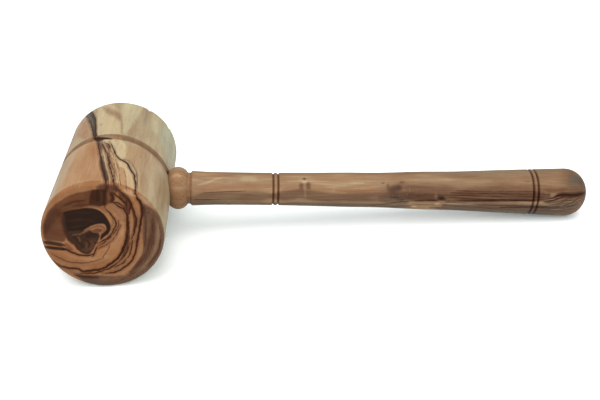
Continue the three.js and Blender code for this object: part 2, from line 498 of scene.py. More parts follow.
handle_wood = bpy.data.materials.new("handle_wood")
handle_outline = [(shoulder + along, radius) for along, radius in eased(handle_corners())]
handle_mesh = turn_on_lathe("handle", handle_outline, HANDLE_SIDES, handle_wood)
print("handle:", len(handle_mesh.vertices), "points,", len(handle_mesh.polygons), "faces")

# %% [markdown]
# ## Cutting the teeth
# Each groove is a V, as a router bit leaves it. A square bar stood on its edge and sunk
# halfway into the face cuts just that, and a second, wider and flatter bar eases the
# groove's edges. Geometry Nodes repeat the bars at the grooves' spacing and turn the pair,
# so that one tree makes both the deep and the shallow cutters.

# %% The cutter tree
BAR_LENGTH = 4 * HEAD_RADIUS


def tooth_cutter_tree():
    """A pair of bars with eased edges, turned and put in place."""
    tree, given, result = new_tree(
        "Tooth cutters",
        "GeometryNodeTree",
        [("Bars", "Geometry"), ("Spacing", "Float"), ("Width", "Float"), ("Depth", "Float")]
        + [("Easing", "Float"), ("Turn", "Vector"), ("Place", "Vector"), ("Finish", "Material")],
        [("Cutters", "Geometry")],
    )
    half = add(tree, "ShaderNodeMath", {0: given["Spacing"], 1: -0.5}, operation="MULTIPLY")
    start = add(tree, "ShaderNodeCombineXYZ", {0: half.outputs[0]})
    offset = add(tree, "ShaderNodeCombineXYZ", {0: given["Spacing"]})
    line = {"Start Location": start.outputs[0], "Offset": offset.outputs[0], "Count": 2}
    points = add(tree, "GeometryNodeMeshLine", line)
    square = {"Vertices": 4, "Radius": 1, "Depth": BAR_LENGTH}
    bar = add(tree, "GeometryNodeMeshCylinder", square)
    half_width = add(tree, "ShaderNodeMath", {0: given["Width"], 1: 0.5}, operation="MULTIPLY")
    wider = {0: half_width.outputs[0], 1: given["Easing"]}
    eased_width = add(tree, "ShaderNodeMath", wider, operation="ADD")
    sections = [(half_width.outputs[0], given["Depth"]), (eased_width.outputs[0], given["Easing"])]
    bars = []
    for width, depth in sections:
        scale = add(tree, "ShaderNodeCombineXYZ", {0: width, 1: depth, 2: 1.0})
        shaped = {"Geometry": bar.outputs["Mesh"], "Scale": scale.outputs[0]}
        section = add(tree, "GeometryNodeTransform", shaped)
        placed = {"Points": points.outputs["Mesh"], "Instance": section.outputs[0]}
        bars.append(add(tree, "GeometryNodeInstanceOnPoints", placed))
    union = add(tree, "GeometryNodeMeshBoolean", operation="UNION", solver="EXACT")
    for placed in bars:
        real = add(tree, "GeometryNodeRealizeInstances", {0: placed.outputs[0]})
        tree.links.new(real.outputs[0], union.inputs["Mesh 2"])
    turned = {"Geometry": union.outputs[0], "Rotation": given["Turn"], "Translation": given["Place"]}
    set_up = add(tree, "GeometryNodeTransform", turned)
    real = add(tree, "GeometryNodeRealizeInstances", {0: set_up.outputs[0]})
    finished = {"Geometry": real.outputs[0], "Material": given["Finish"]}
    tree.links.new(
        add(tree, "GeometryNodeSetMaterial", finished).outputs[0], result["Cutters"]
    )
    return tree


# %% Cutters of the teeth and the socket
TOOTH_TURN = math.radians(45)
DEEP_GROOVES = {"Spacing": 16.8, "Width": 5.4, "Depth": 3.2}
SHALLOW_GROOVES = {"Spacing": 16.4, "Width": 3.6, "Depth": 1.5}
GLUE_GAP = 0.3
DRILL_POINT = math.radians(118)
CLEAR_OF_HEAD = 1.5 * HEAD_RADIUS

tooth_cutters = tooth_cutter_tree()
socket_radius = TENON_RADIUS + GLUE_GAP
socket_bottom = shoulder - TENON_LENGTH - GLUE_GAP
seat_rounding = BEAD_ROUNDING + GLUE_GAP
seat_start = -math.asin((bead_middle + GLUE_GAP) / seat_rounding)
seat_middle = shoulder + bead_middle
seat = arc(seat_middle, bead_centre, seat_rounding, seat_start, 0, ARC_STEPS, UNBROKEN)
socket_outline = [
    (socket_bottom - socket_radius / math.tan(DRILL_POINT / 2), 0),
    (socket_bottom, socket_radius),
    (shoulder - GLUE_GAP, socket_radius),
    *[corner[:2] for corner in seat],
    (CLEAR_OF_HEAD, BEAD_RADIUS + GLUE_GAP),
    (CLEAR_OF_HEAD, 0),
]
cutters = [turn_on_lathe("socket_cutter", socket_outline, HANDLE_SIDES, head_wood)]
for turn, grooves in ((TOOTH_TURN, DEEP_GROOVES), (TOOTH_TURN + math.pi / 2, SHALLOW_GROOVES)):
    bars = evaluated(
        "groove_cutters",
        bpy.data.meshes.new("bars"),
        tooth_cutters,
        Easing=EDGE_EASING,
        Turn=(0, turn, 0),
        Place=(0, TOOTHED_END, 0),
        Finish=head_wood,
        **grooves,
    )
    cutters.append(bars)
print("cutters:", len(cutters))

# %% Cut the teeth and the socket


def cut(blank, tools):
    """Takes each tool's shape out of the blank."""
    holder = put_in_scene("blank", blank)
    helpers = []
    for tool in tools:
        helper = put_in_scene("tool", tool)
        modifier = holder.modifiers.new("cut", "BOOLEAN")
        modifier.operation = "DIFFERENCE"
        modifier.solver = "MANIFOLD"
        modifier.object = helper
        helpers.append(helper)
    result = with_modifiers(holder)
    for thing in [holder, *helpers]:
        bpy.data.objects.remove(thing)
    return result


head_mesh = cut(head_blank, cutters)
print("head:", len(head_mesh.vertices), "points,", len(head_mesh.polygons), "faces")

# %% [markdown]
# ## The figure of the wood
# Olive wood is known by its figure: dark lines, brown bands and smoky stains over pale
# wood. A noise texture gives some olive wood, but not this one. So the figure is drawn
# over the photograph, as a painter would copy it, and carried down the camera's lines of
# sight onto the wood. Soft stains are brushed on in layers and kept as two values on every
# point of the mesh: the depth of the tone, and its warmth. Crisp lines are kept as the
# distance to the nearest line, and the shader cuts that distance with a ragged edge, so
# that a line stays sharp close up. A pixel of the photograph covers about 0.6 mm of wood.

# %% Smooth, wandering and tapered lines
STROKE_STEP = 0.35
BRUSH_STEP = 1.0
LONG_BEND = 2.6
SHORT_BEND = 1.2
BEND_SHIFT = 2.3
TAPER = 0.18
THINNEST = 0.15


def smoothed(points, step):
    """Points at even steps along a smooth line through the given ones."""
    points = np.array(points, float)
    lengths = np.append(0, np.cumsum(np.linalg.norm(np.diff(points, axis=0), axis=1)))
    places = np.linspace(0, lengths[-1], max(3, round(lengths[-1] / step)))
    return smooth_curve(lengths, points, places)


def wandering(points, wander, number):
    """A drawn line with small bends, as growth rings have, others for each line's number."""
    run = np.arange(len(points)) * STROKE_STEP
    sway = np.sin(run / LONG_BEND + number) + np.sin(run / SHORT_BEND + BEND_SHIFT * number)
    along = np.gradient(points, axis=0)
    across = np.stack([-along[:, 1], along[:, 0]], axis=1)
    across /= np.linalg.norm(across, axis=1)[:, None]
    return points + wander * sway[:, None] * across


def tapered(count, width):
    """Half the width of a stroke at each of its points, thinner towards both ends."""
    share = np.linspace(0, 1, count)
    return np.clip(np.minimum(share, 1 - share) / TAPER, THINNEST, 1) ** 0.5 * width / 2


# %% Distances to a line
CHUNK = 4000


def smooth_step(values, low, high):
    """Values eased from 0 at the low end to 1 at the high one."""
    share = np.clip((values - low) / (high - low), 0, 1)
    return share * share * (3 - 2 * share)


def inside(spots, edge):
    """Whether spots lie inside a closed line, by counting crossings."""
    crossings = np.zeros(len(spots), int)
    for start, end in zip(edge, np.roll(edge, -1, axis=0)):
        spans = (start[1] > spots[:, 1]) != (end[1] > spots[:, 1])
        if spans.any():
            slope_here = (end[0] - start[0]) / (end[1] - start[1])
            crossings += spans & (spots[:, 0] < start[0] + slope_here * (spots[:, 1] - start[1]))
    return crossings % 2 == 1


def least_gap(points, line, half_widths):
    """Distance of each point to the edge of a stroke."""
    gaps = [
        (np.linalg.norm(part[:, None] - line[None], axis=2) - half_widths).min(axis=1)
        for part in np.array_split(points, max(1, len(points) // CHUNK))
    ]
    return np.concatenate(gaps)


# %% A piece that can be marked
PIXEL = 0.6
FAR = 4.0
SEEN_FROM = 0.02
SEEN_FULLY = 0.2
to_mallet = lay_down.inverted()


def read_vectors(mesh, name):
    """One vector for each point of a mesh, such as its place or its normal."""
    values = np.empty(len(mesh.vertices) * 3)
    mesh.vertices.foreach_get(name, values)
    return values.reshape(-1, 3)


class Wood:
    """A turned piece that can be marked, with its points, normals and view from the camera."""

    def __init__(self, mesh, fibre, wander):
        self.mesh = mesh
        self.fibre = np.array(fibre, float)
        self.wander = wander
        self.read()

    def read(self):
        """Reads the mesh anew, after its points have changed."""
        mesh = self.mesh
        self.points = read_vectors(mesh, "co")
        self.normals = read_vectors(mesh, "normal")
        view = np.array(CAMERA_PLACE) - self.points
        view /= np.linalg.norm(view, axis=1)[:, None]
        self.facing = (view * self.normals).sum(axis=1)
        laid = self.points @ np.array(lay_down.to_3x3()).T + np.array(lay_down.translation)
        self.pixels = in_photo(laid)
        polygons = [polygon.vertices for polygon in mesh.polygons]
        self.surface = BVHTree.FromPolygons([v.co for v in mesh.vertices], polygons)

    def place(self, pixels):
        """Points at which the camera's lines of sight meet the wood."""
        found = []
        for pixel in pixels:
            ray = (to_mallet.to_3x3() @ sight_line(pixel)).normalized()
            hit = self.surface.ray_cast(CAMERA_PLACE, ray)[0]
            if hit is not None:
                found.append(hit)
        return np.array(found)

    def strokes(self, lines):
        """Distance in mm to the nearest of some lines, each a width in pixels and its points."""
        result = np.full(len(self.points), FAR)
        for number, (width, *pixels) in enumerate(lines.values()):
            line = self.place(wandering(smoothed(pixels, STROKE_STEP), self.wander, number))
            half_widths = tapered(len(line), width * PIXEL)
            low = line.min(axis=0) - FAR - width
            high = line.max(axis=0) + FAR + width
            near = ((self.points > low) & (self.points < high)).all(axis=1)
            if near.any():
                gaps = least_gap(self.points[near], line, half_widths)
                result[near] = np.minimum(result[near], gaps)
        return result

    def brushed(self, closed, width, soft, pixels):
        """How much of a soft brush mark each point gets, from 0 to 1."""
        edge = smoothed([*pixels, pixels[0]] if closed else pixels, BRUSH_STEP)
        reach = (width + soft) / 2
        box = (self.pixels > edge.min(axis=0) - reach) & (self.pixels < edge.max(axis=0) + reach)
        near = np.flatnonzero(box.all(axis=1) & (self.facing > 0))
        share = np.zeros(len(self.points))
        if len(near):
            spots = self.pixels[near]
            half_widths = 0 if closed else tapered(len(edge), width)
            gaps = least_gap(spots, edge, half_widths)
            if closed:
                gaps = np.where(inside(spots, edge), -gaps, gaps)
            share[near] = 1 - smooth_step(gaps, -soft / 2, soft / 2)
        return share

    def stain(self, layers, tone, warmth):
        """Brushes stains over a ground of one tone and warmth, and returns both per point."""
        tones = np.full(len(self.points), float(tone))
        warmths = np.full(len(self.points), float(warmth))
        for closed, width, soft, new_tone, new_warmth, pixels in layers.values():
            share = self.brushed(closed, width, soft, pixels)
            tones += share * (new_tone - tones)
            warmths += share * (new_warmth - warmths)
        return tones, warmths

    def keep(self, **attributes):
        """Stores one value per point on the mesh under each name."""
        for name, values in attributes.items():
            attribute = self.mesh.attributes.new(name, "FLOAT", "POINT")
            attribute.data.foreach_set("value", np.ascontiguousarray(values, dtype=np.float32))

    def keep_lines(self, ink, umber, pale):
        """Stores the distances to three kinds of lines, and what else both woods need."""
        self.keep(
            ink=self.strokes(ink),
            umber=self.strokes(umber),
            pale=self.strokes(pale),
            end_grain=abs(self.normals @ self.fibre),
            seen=smooth_step(self.facing, SEEN_FROM, SEEN_FULLY),
        )


# %% Two kinds of brush marks


def band(width, soft, tone, warmth, *pixels):
    """A stroke of stain: its width and soft edge in pixels, its tone, warmth and points."""
    return False, width, soft, tone, warmth, pixels


def patch(soft, tone, warmth, *pixels):
    """A filled shape of stain: its soft edge in pixels, its tone, warmth and outline."""
    return True, 0, soft, tone, warmth, pixels


# %% Finer mesh under the fine lines
FINE_REACH = 0.7
SMALLEST_FACE = 0.08


def refine(wood, distances):
    """Splits each face near a line in four, so that the mesh can hold a fine line."""
    sheet = bmesh.new()
    sheet.from_mesh(wood.mesh)
    sheet.verts.ensure_lookup_table()
    near = distances < FINE_REACH
    faces = [face for face in sheet.faces if all(near[v.index] for v in face.verts)]
    faces = [face for face in faces if len(face.verts) == 4 and face.calc_area() > SMALLEST_FACE]
    edges = list(dict.fromkeys(edge for face in faces for edge in face.edges))
    bmesh.ops.subdivide_edges(sheet, edges=edges, cuts=1, use_grid_fill=True)
    sheet.to_mesh(wood.mesh)
    sheet.free()
    wood.read()


# %% [markdown]
# ## Stains of the head's side
# The side shows wood of three ages: honey left of the dark streak, pale sapwood in the
# middle, and greyer, greenish wood towards the right edge. Tones go from 0, the palest, to
# 1, near-black. A warmth of 0 is grey-green and 1 is orange-brown. Widths, soft edges and
# points are in pixels of the photograph. Later stains lie over earlier ones, so the broad
# ones come first.

# %% Far part of the side
SIDE_TONE = 0.12
SIDE_WARMTH = 0.45
FAR_SIDE = {
    "honey": patch(
        7, 0.12, 1.0, (54, 196), (66, 170), (76, 150), (96, 140), (101, 160), (101, 186), (80, 192)
    ),
    "left edge": band(5, 6, 0.17, 0.5, (45, 207), (54, 184), (64, 160), (72, 140), (82, 122)),
    "orange by the streak": band(9, 7, 0.15, 1.05, (93, 148), (96, 160), (98, 170), (100, 186)),
    "far honey": patch(4, 0.16, 0.85, (74, 136), (82, 121), (87, 119), (91, 130), (92, 138)),
    "pale, far": patch(
        3, 0.055, 0.4, (97, 108), (106, 102), (117, 108), (121, 117), (122, 128), (124, 138),
        (97, 138), (97, 124),
    ),
    "smudge": band(6, 5, 0.18, 0.62, (104, 108), (111, 112), (117, 114), (120, 119)),
    "far brown line": band(
        3, 2.5, 0.19, 0.5, (119.5, 113), (121.4, 120), (122.3, 130), (123.2, 142), (124, 156),
    ),
    # A greyer strip along the top of the far rim.
    "grey corner": band(4, 4, 0.12, 0.1, (97, 106), (106, 101), (118, 99)),
    "right of the brown line": patch(
        4, 0.075, 0.24, (120, 105), (132, 100), (143, 106), (137, 118), (129, 130), (124, 134),
        (122, 120),
    ),
    "tan wedge": patch(
        4, 0.15, 0.4, (143, 106), (151, 110), (150, 122), (153, 134), (144, 138), (126, 137),
        (129, 130), (137, 118),
    ),
    "tan foot of the wedge": band(5, 5, 0.15, 0.55, (128, 132), (138, 131), (150, 134)),
    "beyond the wedge": patch(5, 0.1, 0.22, (152, 112), (165, 122), (168, 134), (154, 132)),
    "green edge": patch(
        6, 0.12, 0.0, (166, 120), (178, 134), (179, 168), (170, 166), (163, 150), (158, 136)
    ),
    "rim's grey edge": band(2.5, 3, 0.2, -0.1, (140, 103), (156, 110), (168, 121), (174, 133)),
}
print("stains on the far part:", len(FAR_SIDE))

# %% Near part of the side
NEAR_SIDE = {
    "palest, near": patch(
        2, 0.035, 0.42, (107, 141), (124, 142), (125, 157), (119, 158), (114, 151)
    ),
    "tan, near": patch(
        4, 0.125, 0.7, (126, 144), (141, 147), (148, 156), (148, 180), (144, 194), (137, 190),
        (136, 176), (131, 163), (126, 158),
    ),
    "gold by the long line": band(
        2, 2, 0.14, 0.75, (121, 158.5), (130, 160.6), (135, 168), (137, 180)
    ),
    "light under it": band(2.5, 2.5, 0.08, 0.68, (138, 168), (139, 184), (139, 195)),
    "brown stripe": band(5, 4, 0.145, 0.6, (143, 160), (143, 174), (142, 184)),
    "light stripe": band(5, 4, 0.08, 0.5, (152, 150), (153, 165), (152, 182), (150, 200)),
    "second light stripe": band(3, 3, 0.09, 0.4, (157, 142), (160, 158)),
    "tan stripe": band(4, 4, 0.14, 0.6, (159, 168), (159, 184), (157, 202)),
    "shaded stripe": band(3, 3, 0.17, 0.65, (163.5, 175), (163.5, 192), (161, 208)),
    "palest stripe": patch(
        1.5, 0.02, 0.66, (117.5, 160.8), (123, 162.5), (127, 168), (131, 175.5), (133, 182),
        (133.4, 192), (126, 193), (124.8, 175), (123.4, 168), (119, 165.5),
    ),
    "gold wedge": patch(
        1.5, 0.1, 0.95, (118.2, 166), (123.4, 168), (125, 175.5), (125.8, 184), (126, 192),
        (121, 189), (119.4, 180),
    ),
}
print("stains on the near part:", len(NEAR_SIDE))

# %% Dark streak and bundle of lines
STREAK = {
    "bundle": patch(
        1.5, 0.13, 0.75, (98, 142), (103, 141.5), (108, 144), (112, 150), (115, 156), (117, 163),
        (118.4, 172), (120, 183), (121.5, 190), (102, 189), (102, 178), (100.4, 164), (98.6, 152),
    ),
    "bundle's top": band(4, 3, 0.4, 0.7, (97, 141), (100, 145), (102, 149)),
    "bundle's pale gap": band(
        1.4, 1, 0.13, 0.3, (101.6, 147), (102.4, 151), (103.6, 157), (105, 164)
    ),
    "second pale gap": band(1.2, 1, 0.14, 0.8, (107, 155), (109, 162), (111, 170), (113, 179)),
    "third pale gap": band(1.2, 1, 0.15, 0.85, (112, 158), (114.4, 166), (115.6, 176)),
    "bundle's smoke": band(
        5, 3, 0.5, 0.6, (100.8, 158), (102.4, 167), (104.4, 174), (106, 181), (107, 189)
    ),
    "foot of the bundle": band(6, 5, 0.46, 0.85, (98, 188), (106, 186.5), (112, 188), (118, 191)),
    "far streak": patch(
        1.2, 0.6, 0.4, (85, 116.6), (87.6, 118), (89.4, 121), (91.2, 127), (92.8, 133), (94, 138),
        (96, 138), (95.8, 130), (95.2, 121), (93.4, 115), (90.8, 110.6), (87.8, 113.2),
    ),
    "streak's grey": band(1.4, 1.2, 0.4, 0.35, (88.4, 115), (91, 119), (93, 126)),
}
print("stains of the streak:", len(STREAK))

# %% Ring groove and rim
GROOVE = {
    "groove's brown, left": band(4, 2, 0.12, 0.75, (66, 158), (76, 149), (86, 142), (94, 139)),
    "groove's gold": band(3.5, 2, 0.02, 0.65, (110, 136.5), (116, 136.6), (121, 137.5)),
    "groove's brown": band(
        4, 2.5, 0.16, 0.7, (122, 137), (132, 139.5), (142, 145), (152, 153), (160, 163), (165, 172),
    ),
    "groove stain": patch(
        1, 0.74, 0.9, (93, 136.2), (95.4, 135), (99.4, 136.6), (103.4, 136.9), (108.5, 137.4),
        (111.8, 138.6), (107, 139), (103, 139.4), (100, 140.6), (96.8, 140.8), (94, 139),
    ),
    # Orange along the rounded rim; its lighter tone is a painted highlight where the rim catches the
    # light.
    "orange rim, painted highlight": band(4.5, 3, 0.2, 1.1, (46, 210), (53, 200), (63, 193), (75, 187), (88, 184)),
    "speck": band(1.6, 1.5, 0.2, 0.5, (99, 124), (102, 124)),
}
SIDE_STAINS = {**FAR_SIDE, **NEAR_SIDE, **STREAK, **GROOVE}
print("all stains on the head's side:", len(SIDE_STAINS))

# %% [markdown]
# ## Stains of the smooth face
# The smooth face is end grain, so its figure runs in rings. A near-black heart lies left of
# the middle with a light tongue under it. Honey-orange wood surrounds it, a brown crescent
# fills the upper left, and stripes of brown follow the rim on the right.

# %% Ground and rim of the face
FACE_GROUND = {
    "ground": patch(
        2, 0.18, 1.1, (36, 220), (42, 204), (56, 192), (72, 184), (92, 180), (112, 181), (130, 187),
        (150, 198), (162, 208), (170, 226), (172, 246), (164, 268), (146, 284), (120, 294),
        (96, 294), (74, 286), (54, 272), (40, 254), (34, 238),
    ),
    # The rim's crown is orange wood; its lighter tone is a painted highlight on the rounding.
    "rim's crown, painted highlight": band(
        5, 3, 0.24, 1.05, (44, 212), (50, 204), (60, 196.5), (72, 191), (84, 188), (94, 186.5)
    ),
    "rim over the bundle": band(6, 4, 0.56, 0.95, (97, 187), (106, 186.5), (114, 188), (119, 190)),
    "rim over the pale stripe": band(5, 2.5, 0.12, 0.85, (124, 190), (130, 192), (136, 195)),
    "rim on the right, far": band(6, 4, 0.16, 0.75, (138, 196), (146, 201), (154, 208), (160, 217)),
    "light ring": band(
        12, 10, 0.17, 1.05, (121, 214), (119, 232), (113, 247), (102, 256), (90, 260)
    ),
    "left ring": band(
        7, 6, 0.27, 1.1, (48, 250), (58, 257.5), (70, 262), (84, 264), (98, 264), (108, 260)
    ),
}
print("stains of the ground:", len(FACE_GROUND))

# %% Brown crescent
CRESCENT = {
    "crescent": patch(
        2.5, 0.5, 1.12, (43, 224), (47, 212), (54, 204.5), (62, 199), (73, 193.5), (85, 190.8),
        (95, 189), (106, 190), (112, 196), (108, 203), (100, 206), (88, 206.5), (78, 208),
        (68, 210.5), (62.5, 213), (63, 222), (65, 232), (64, 240.5), (55, 240.5), (44.5, 239),
    ),
    "crescent's shade": band(8, 6, 0.63, 1.05, (45, 232), (49, 221), (55, 212), (60, 214)),
    "crescent's dark streak": band(2, 2, 0.62, 1.1, (60, 206), (70, 202), (84, 200.5)),
    "crescent's second streak": band(2, 2, 0.6, 1.1, (72, 205.5), (84, 204.5), (92, 204.5)),
    "crescent's red": band(4, 4, 0.44, 1.25, (62, 201), (72, 197), (82, 195)),
    "crescent's light arc": band(1.5, 2, 0.52, 0.9, (48, 241), (48.5, 232), (52, 223.5)),
    "block": patch(
        2, 0.74, 1.1, (91, 190), (98, 189), (104.8, 189), (104.8, 203.5), (89, 204), (89, 198)
    ),
    "block's core": band(3, 2, 0.86, 1.1, (97, 189.5), (97, 201)),
    "block's light line": band(1.2, 1.2, 0.66, 1.1, (101.3, 191), (101.3, 201)),
    "right of the block": patch(
        2, 0.5, 1.1, (105.5, 189.5), (112, 190.5), (116, 195), (112, 202), (106, 204)
    ),
    "light column": band(1.6, 1.5, 0.4, 1.05, (108, 191), (108, 200)),
    "light strip over the heart": band(
        2.2, 2, 0.36, 1.0, (79, 209), (86, 206.8), (94, 206), (100, 207.5), (105, 212)
    ),
    "light beside it": patch(
        2, 0.26, 1.05, (105, 204), (111, 203), (118, 206), (123, 211), (124, 222), (119, 219),
        (116, 214), (109, 209),
    ),
    "between the swirls": band(2, 1.5, 0.3, 1.0, (112, 215), (112, 224), (107, 232)),
    "dark under the rim": patch(
        2, 0.46, 1.05, (118, 191), (125, 193), (130, 199), (131, 206), (128, 212), (124, 206),
        (119, 200),
    ),
    "leaf": patch(
        1.2, 0.22, 1.0, (113, 194), (118, 198), (123, 203), (125, 209), (119, 204), (115, 200)
    ),
}
print("stains of the crescent:", len(CRESCENT))

# %% Dark heart
DARK_HEART = {
    "heart": patch(
        1.6, 0.97, 0.9, (62.5, 212), (70, 209.8), (78, 208.5), (88, 207.6), (96, 209), (102, 212.5),
        (107, 219), (110, 227), (108.5, 232), (104, 236), (100, 239), (101, 234), (106, 229),
        (104.5, 224), (98, 223.3), (90, 225.5), (84, 229), (79, 231.5), (71, 233), (65.8, 231.5),
        (64, 222),
    ),
    "under the heart": patch(
        1.6, 0.74, 0.9, (66.5, 231), (69, 239), (73, 243.5), (77, 249), (82, 252.5), (88, 253.5),
        (92, 250), (95, 244), (98, 239), (99, 234), (95, 231), (84, 230),
    ),
    "dark knot": band(5, 1.8, 0.9, 0.9, (86, 236), (91, 234), (96, 235)),
    "dark hook": band(3, 1.6, 0.88, 0.8, (70, 234), (75, 238), (80, 243), (84, 249)),
    "brown pool": patch(1.8, 0.58, 0.95, (85, 241), (92, 240.5), (94, 245), (90, 250), (85, 248)),
    "pool's shade": band(2, 1.5, 0.86, 0.9, (86, 240), (89, 243), (88, 247)),
    "heart's brown streaks": band(2, 2.5, 0.8, 1.1, (68, 221), (80, 219), (94, 221)),
    "heart's upper streak": band(1.5, 2, 0.82, 1.2, (66, 214), (78, 212), (92, 212)),
    "heart's lower streak": band(1.5, 2, 0.84, 0.9, (68, 227), (78, 226), (88, 223)),
    "tan fleck": band(2.2, 1.8, 0.5, 0.95, (77.6, 236), (79, 239), (79.6, 241.4)),
    "fleck on the right": band(2, 1.8, 0.6, 1.05, (90.5, 241.4), (95, 239.4)),
    "fleck at the foot": band(2, 1.8, 0.58, 1.0, (82, 248.4), (87, 250.4)),
    "light flecks": band(1.6, 1.4, 0.5, 0.85, (71, 235.5), (75, 234), (81, 233.5)),
    "tongue": band(
        2.2, 1.4, 0.35, 0.95, (79, 234), (85, 230.8), (90, 227.8), (95.5, 226), (101, 226),
        (104.2, 228.4), (103, 231.5), (99, 234.5),
    ),
    "tongue's middle": patch(
        1.5, 0.46, 1.0, (90, 230.5), (97, 228), (102, 229.5), (98, 232.5), (92, 232)
    ),
    "orange wedge": patch(
        1.5, 0.36, 1.1, (64, 242), (67, 243), (70.4, 246.4), (73, 249.4), (70, 250), (65, 247.6)
    ),
    "heart's left shade": band(
        3.6, 3, 0.76, 0.95, (62.6, 213), (63.2, 222), (65.4, 231), (68.6, 238.5), (72, 243)
    ),
    "wedge's band": band(3.6, 1.6, 0.74, 1.0, (43, 241.5), (52, 242.8), (58, 243.8), (64, 245)),
    "line's band": band(3, 1.5, 0.8, 1.0, (44, 246.2), (53, 247.6), (60, 248.2), (66, 249)),
}
print("stains of the heart:", len(DARK_HEART))

# %% Light between the rings, and the brown half
RINGS_AND_HALF = {
    "between rings": patch(
        2, 0.24, 1.05, (128, 212), (133, 211), (135, 222), (132, 236), (130, 246), (125, 254),
        (127, 240), (128, 226),
    ),
    "light slot": band(2.5, 1.6, 0.17, 1.0, (130.5, 219), (130.5, 228), (128.5, 236)),
    "outer light": band(3, 2, 0.26, 1.0, (136.5, 208), (138, 220), (136, 234), (134, 246)),
    "lens": patch(
        1.6, 0.27, 1.0, (108, 267), (115, 262.5), (122, 258.5), (126, 257), (124, 262), (117, 265.5)
    ),
    "second lens": band(2, 1.6, 0.26, 1.0, (104, 272), (114, 269.5), (122, 266), (128, 261)),
    "dark crease": band(2, 2, 0.4, 0.95, (121, 258), (126, 252), (129, 246)),
    "brown half": patch(
        4, 0.45, 0.84, (142.5, 203), (150, 207), (158.5, 214), (164, 225), (166, 238), (164.5, 251),
        (159, 262), (149, 272), (136, 280), (122, 284), (110, 284), (118, 275), (130, 268),
        (138, 259), (142, 248), (142, 234), (142.5, 220),
    ),
    "first dark stripe": band(
        3.4, 2.5, 0.54, 0.9, (143.5, 206), (145, 214), (145, 228), (144.4, 242), (142, 252)
    ),
    "light stripe": band(
        5.4, 3, 0.2, 1.0, (141.4, 240), (138.8, 254), (133, 264), (124, 272), (116, 275)
    ),
    "second light stripe": band(2.6, 2.5, 0.42, 0.85, (148, 212), (148.3, 226), (147, 238)),
    "second dark stripe": band(
        4.2, 3, 0.58, 0.95, (152.5, 214), (152, 230), (149.5, 242), (145.5, 253), (140, 261),
        (130, 272),
    ),
    "third light stripe": band(
        4, 2.5, 0.33, 0.7, (157.5, 222), (157.5, 238), (153.4, 252), (146, 263), (138, 270)
    ),
    "third dark stripe": band(2, 1.6, 0.58, 0.9, (160, 238), (158.5, 248), (153, 258), (146, 266)),
    "rim on the right": band(
        2.4, 2, 0.3, 0.6, (160, 218), (164, 230), (164.6, 242), (161.4, 256), (153, 267)
    ),
    "lower left": band(4, 3, 0.3, 0.95, (56, 264), (64, 269), (74, 272), (82, 273.5)),
    "foot": patch(
        3, 0.53, 0.7, (74, 272.5), (86, 274.5), (100, 275), (114, 276), (124, 277), (112, 284.5),
        (98, 285.5), (84, 281.5),
    ),
    "foot's light": band(4, 4, 0.42, 0.95, (100, 278), (112, 278.5), (122, 276)),
}
FACE_STAINS = {**FACE_GROUND, **CRESCENT, **DARK_HEART, **RINGS_AND_HALF}
print("all stains on the smooth face:", len(FACE_STAINS))

# %% [markdown]
# ## Crisp lines of the head
# Over the stains lie the lines of the growth rings: dark ink on the face and along the
# head's side, thinner umber lines beside them, and a few pale ones. One dark spot, where the
# ring groove runs under the bead, is painted shadow. A line's first number is its width in
# pixels. Between the smoky streak and the long line, and in the face's brown half, they fan
# out so evenly that a small rule draws them.

# %% Dark lines of the face
FACE_INK = {
    "main ring": (
        2.1, (53, 260.3), (59.6, 265.2), (69.3, 267.6), (77.4, 268.4), (81, 270.4), (90.3, 270),
        (100, 268.8), (106.5, 265.7), (114.6, 260), (121, 252.5), (125, 241.7), (126.9, 233),
        (127, 224), (126.8, 215.8), (122.7, 208.5), (116.3, 204.4), (110.5, 200.8),
    ),
    "main ring's weight": (
        2.5, (118, 257), (122.5, 249), (125.8, 239), (127, 230), (127, 220), (126.8, 214),
    ),
    "outer ring": (
        1.5, (101.7, 272.6), (110, 272.6), (118, 270.2), (126, 265.4), (131.6, 259.3), (134.9, 252),
        (136.6, 241.7), (138.9, 230), (140.5, 219), (142.2, 209.3), (140.5, 202.8), (137.3, 198),
        (134, 192.3),
    ),
    "outer ring's weight": (2.4, (136, 197), (139.5, 201.6), (141.4, 206), (141.6, 212)),
    "middle ring": (
        1.5, (119, 190.5), (124, 195.5), (129.6, 201.5), (131.8, 207), (134.1, 212.5),
        (135.7, 221.4), (134.1, 230), (131.4, 238),
    ),
    "middle ring's tail": (0.9, (131.8, 240), (131.6, 244), (129.4, 253), (127, 257.5)),
    "loop": (1.0, (126.2, 200), (125.9, 207), (127.6, 213.8), (129.6, 208), (129.4, 202)),
    "leaf's edge": (1.0, (113, 193), (118, 196.5), (122, 200.5), (126, 203.5)),
    "line to the loop": (1.0, (111.4, 201), (117, 202.6), (122, 205.4), (126, 211)),
    "stub": (2.0, (110.5, 193), (112.3, 197.5), (111.4, 201)),
    "first swirl": (
        1.2, (103.3, 207), (106, 209.5), (109.8, 213), (113.8, 218.5), (115.6, 223.5), (113, 230),
        (109, 235.6), (102.5, 240.4), (96.8, 243),
    ),
    "second swirl": (
        0.8, (117.6, 220), (118.2, 224.5), (114.6, 231.2), (109.8, 236.8), (103.3, 242.3),
        (97.6, 245.5),
    ),
    "third swirl": (0.7, (120.2, 224.5), (117.2, 231.5), (110.8, 240.5), (104, 245.2), (97.6, 247.8)),
    "swirl's end": (1.0, (96.6, 246), (95.2, 250), (92, 256)),
    "left line": (
        1.6, (63, 248), (67, 249.8), (71.7, 252), (77, 253.8), (84, 255), (90.3, 254.6), (94, 252.2),
    ),
    "ring's double": (1.2, (80, 272.8), (93.6, 272.4), (101.7, 270.6), (109.8, 267.2), (117.9, 261.7)),
    "ring's second double": (0.9, (113.8, 267), (121.1, 263.5), (126, 258.8)),
    "crease": (0.9, (118, 261.5), (123, 256), (127, 249), (129.4, 242.5)),
    "line under the rim": (1.3, (104.9, 188.5), (105, 198), (104.3, 206.5)),
    "foot line": (1.0, (74, 274.5), (84, 276.4), (97, 276.6)),
}
print("dark lines on the face:", len(FACE_INK))

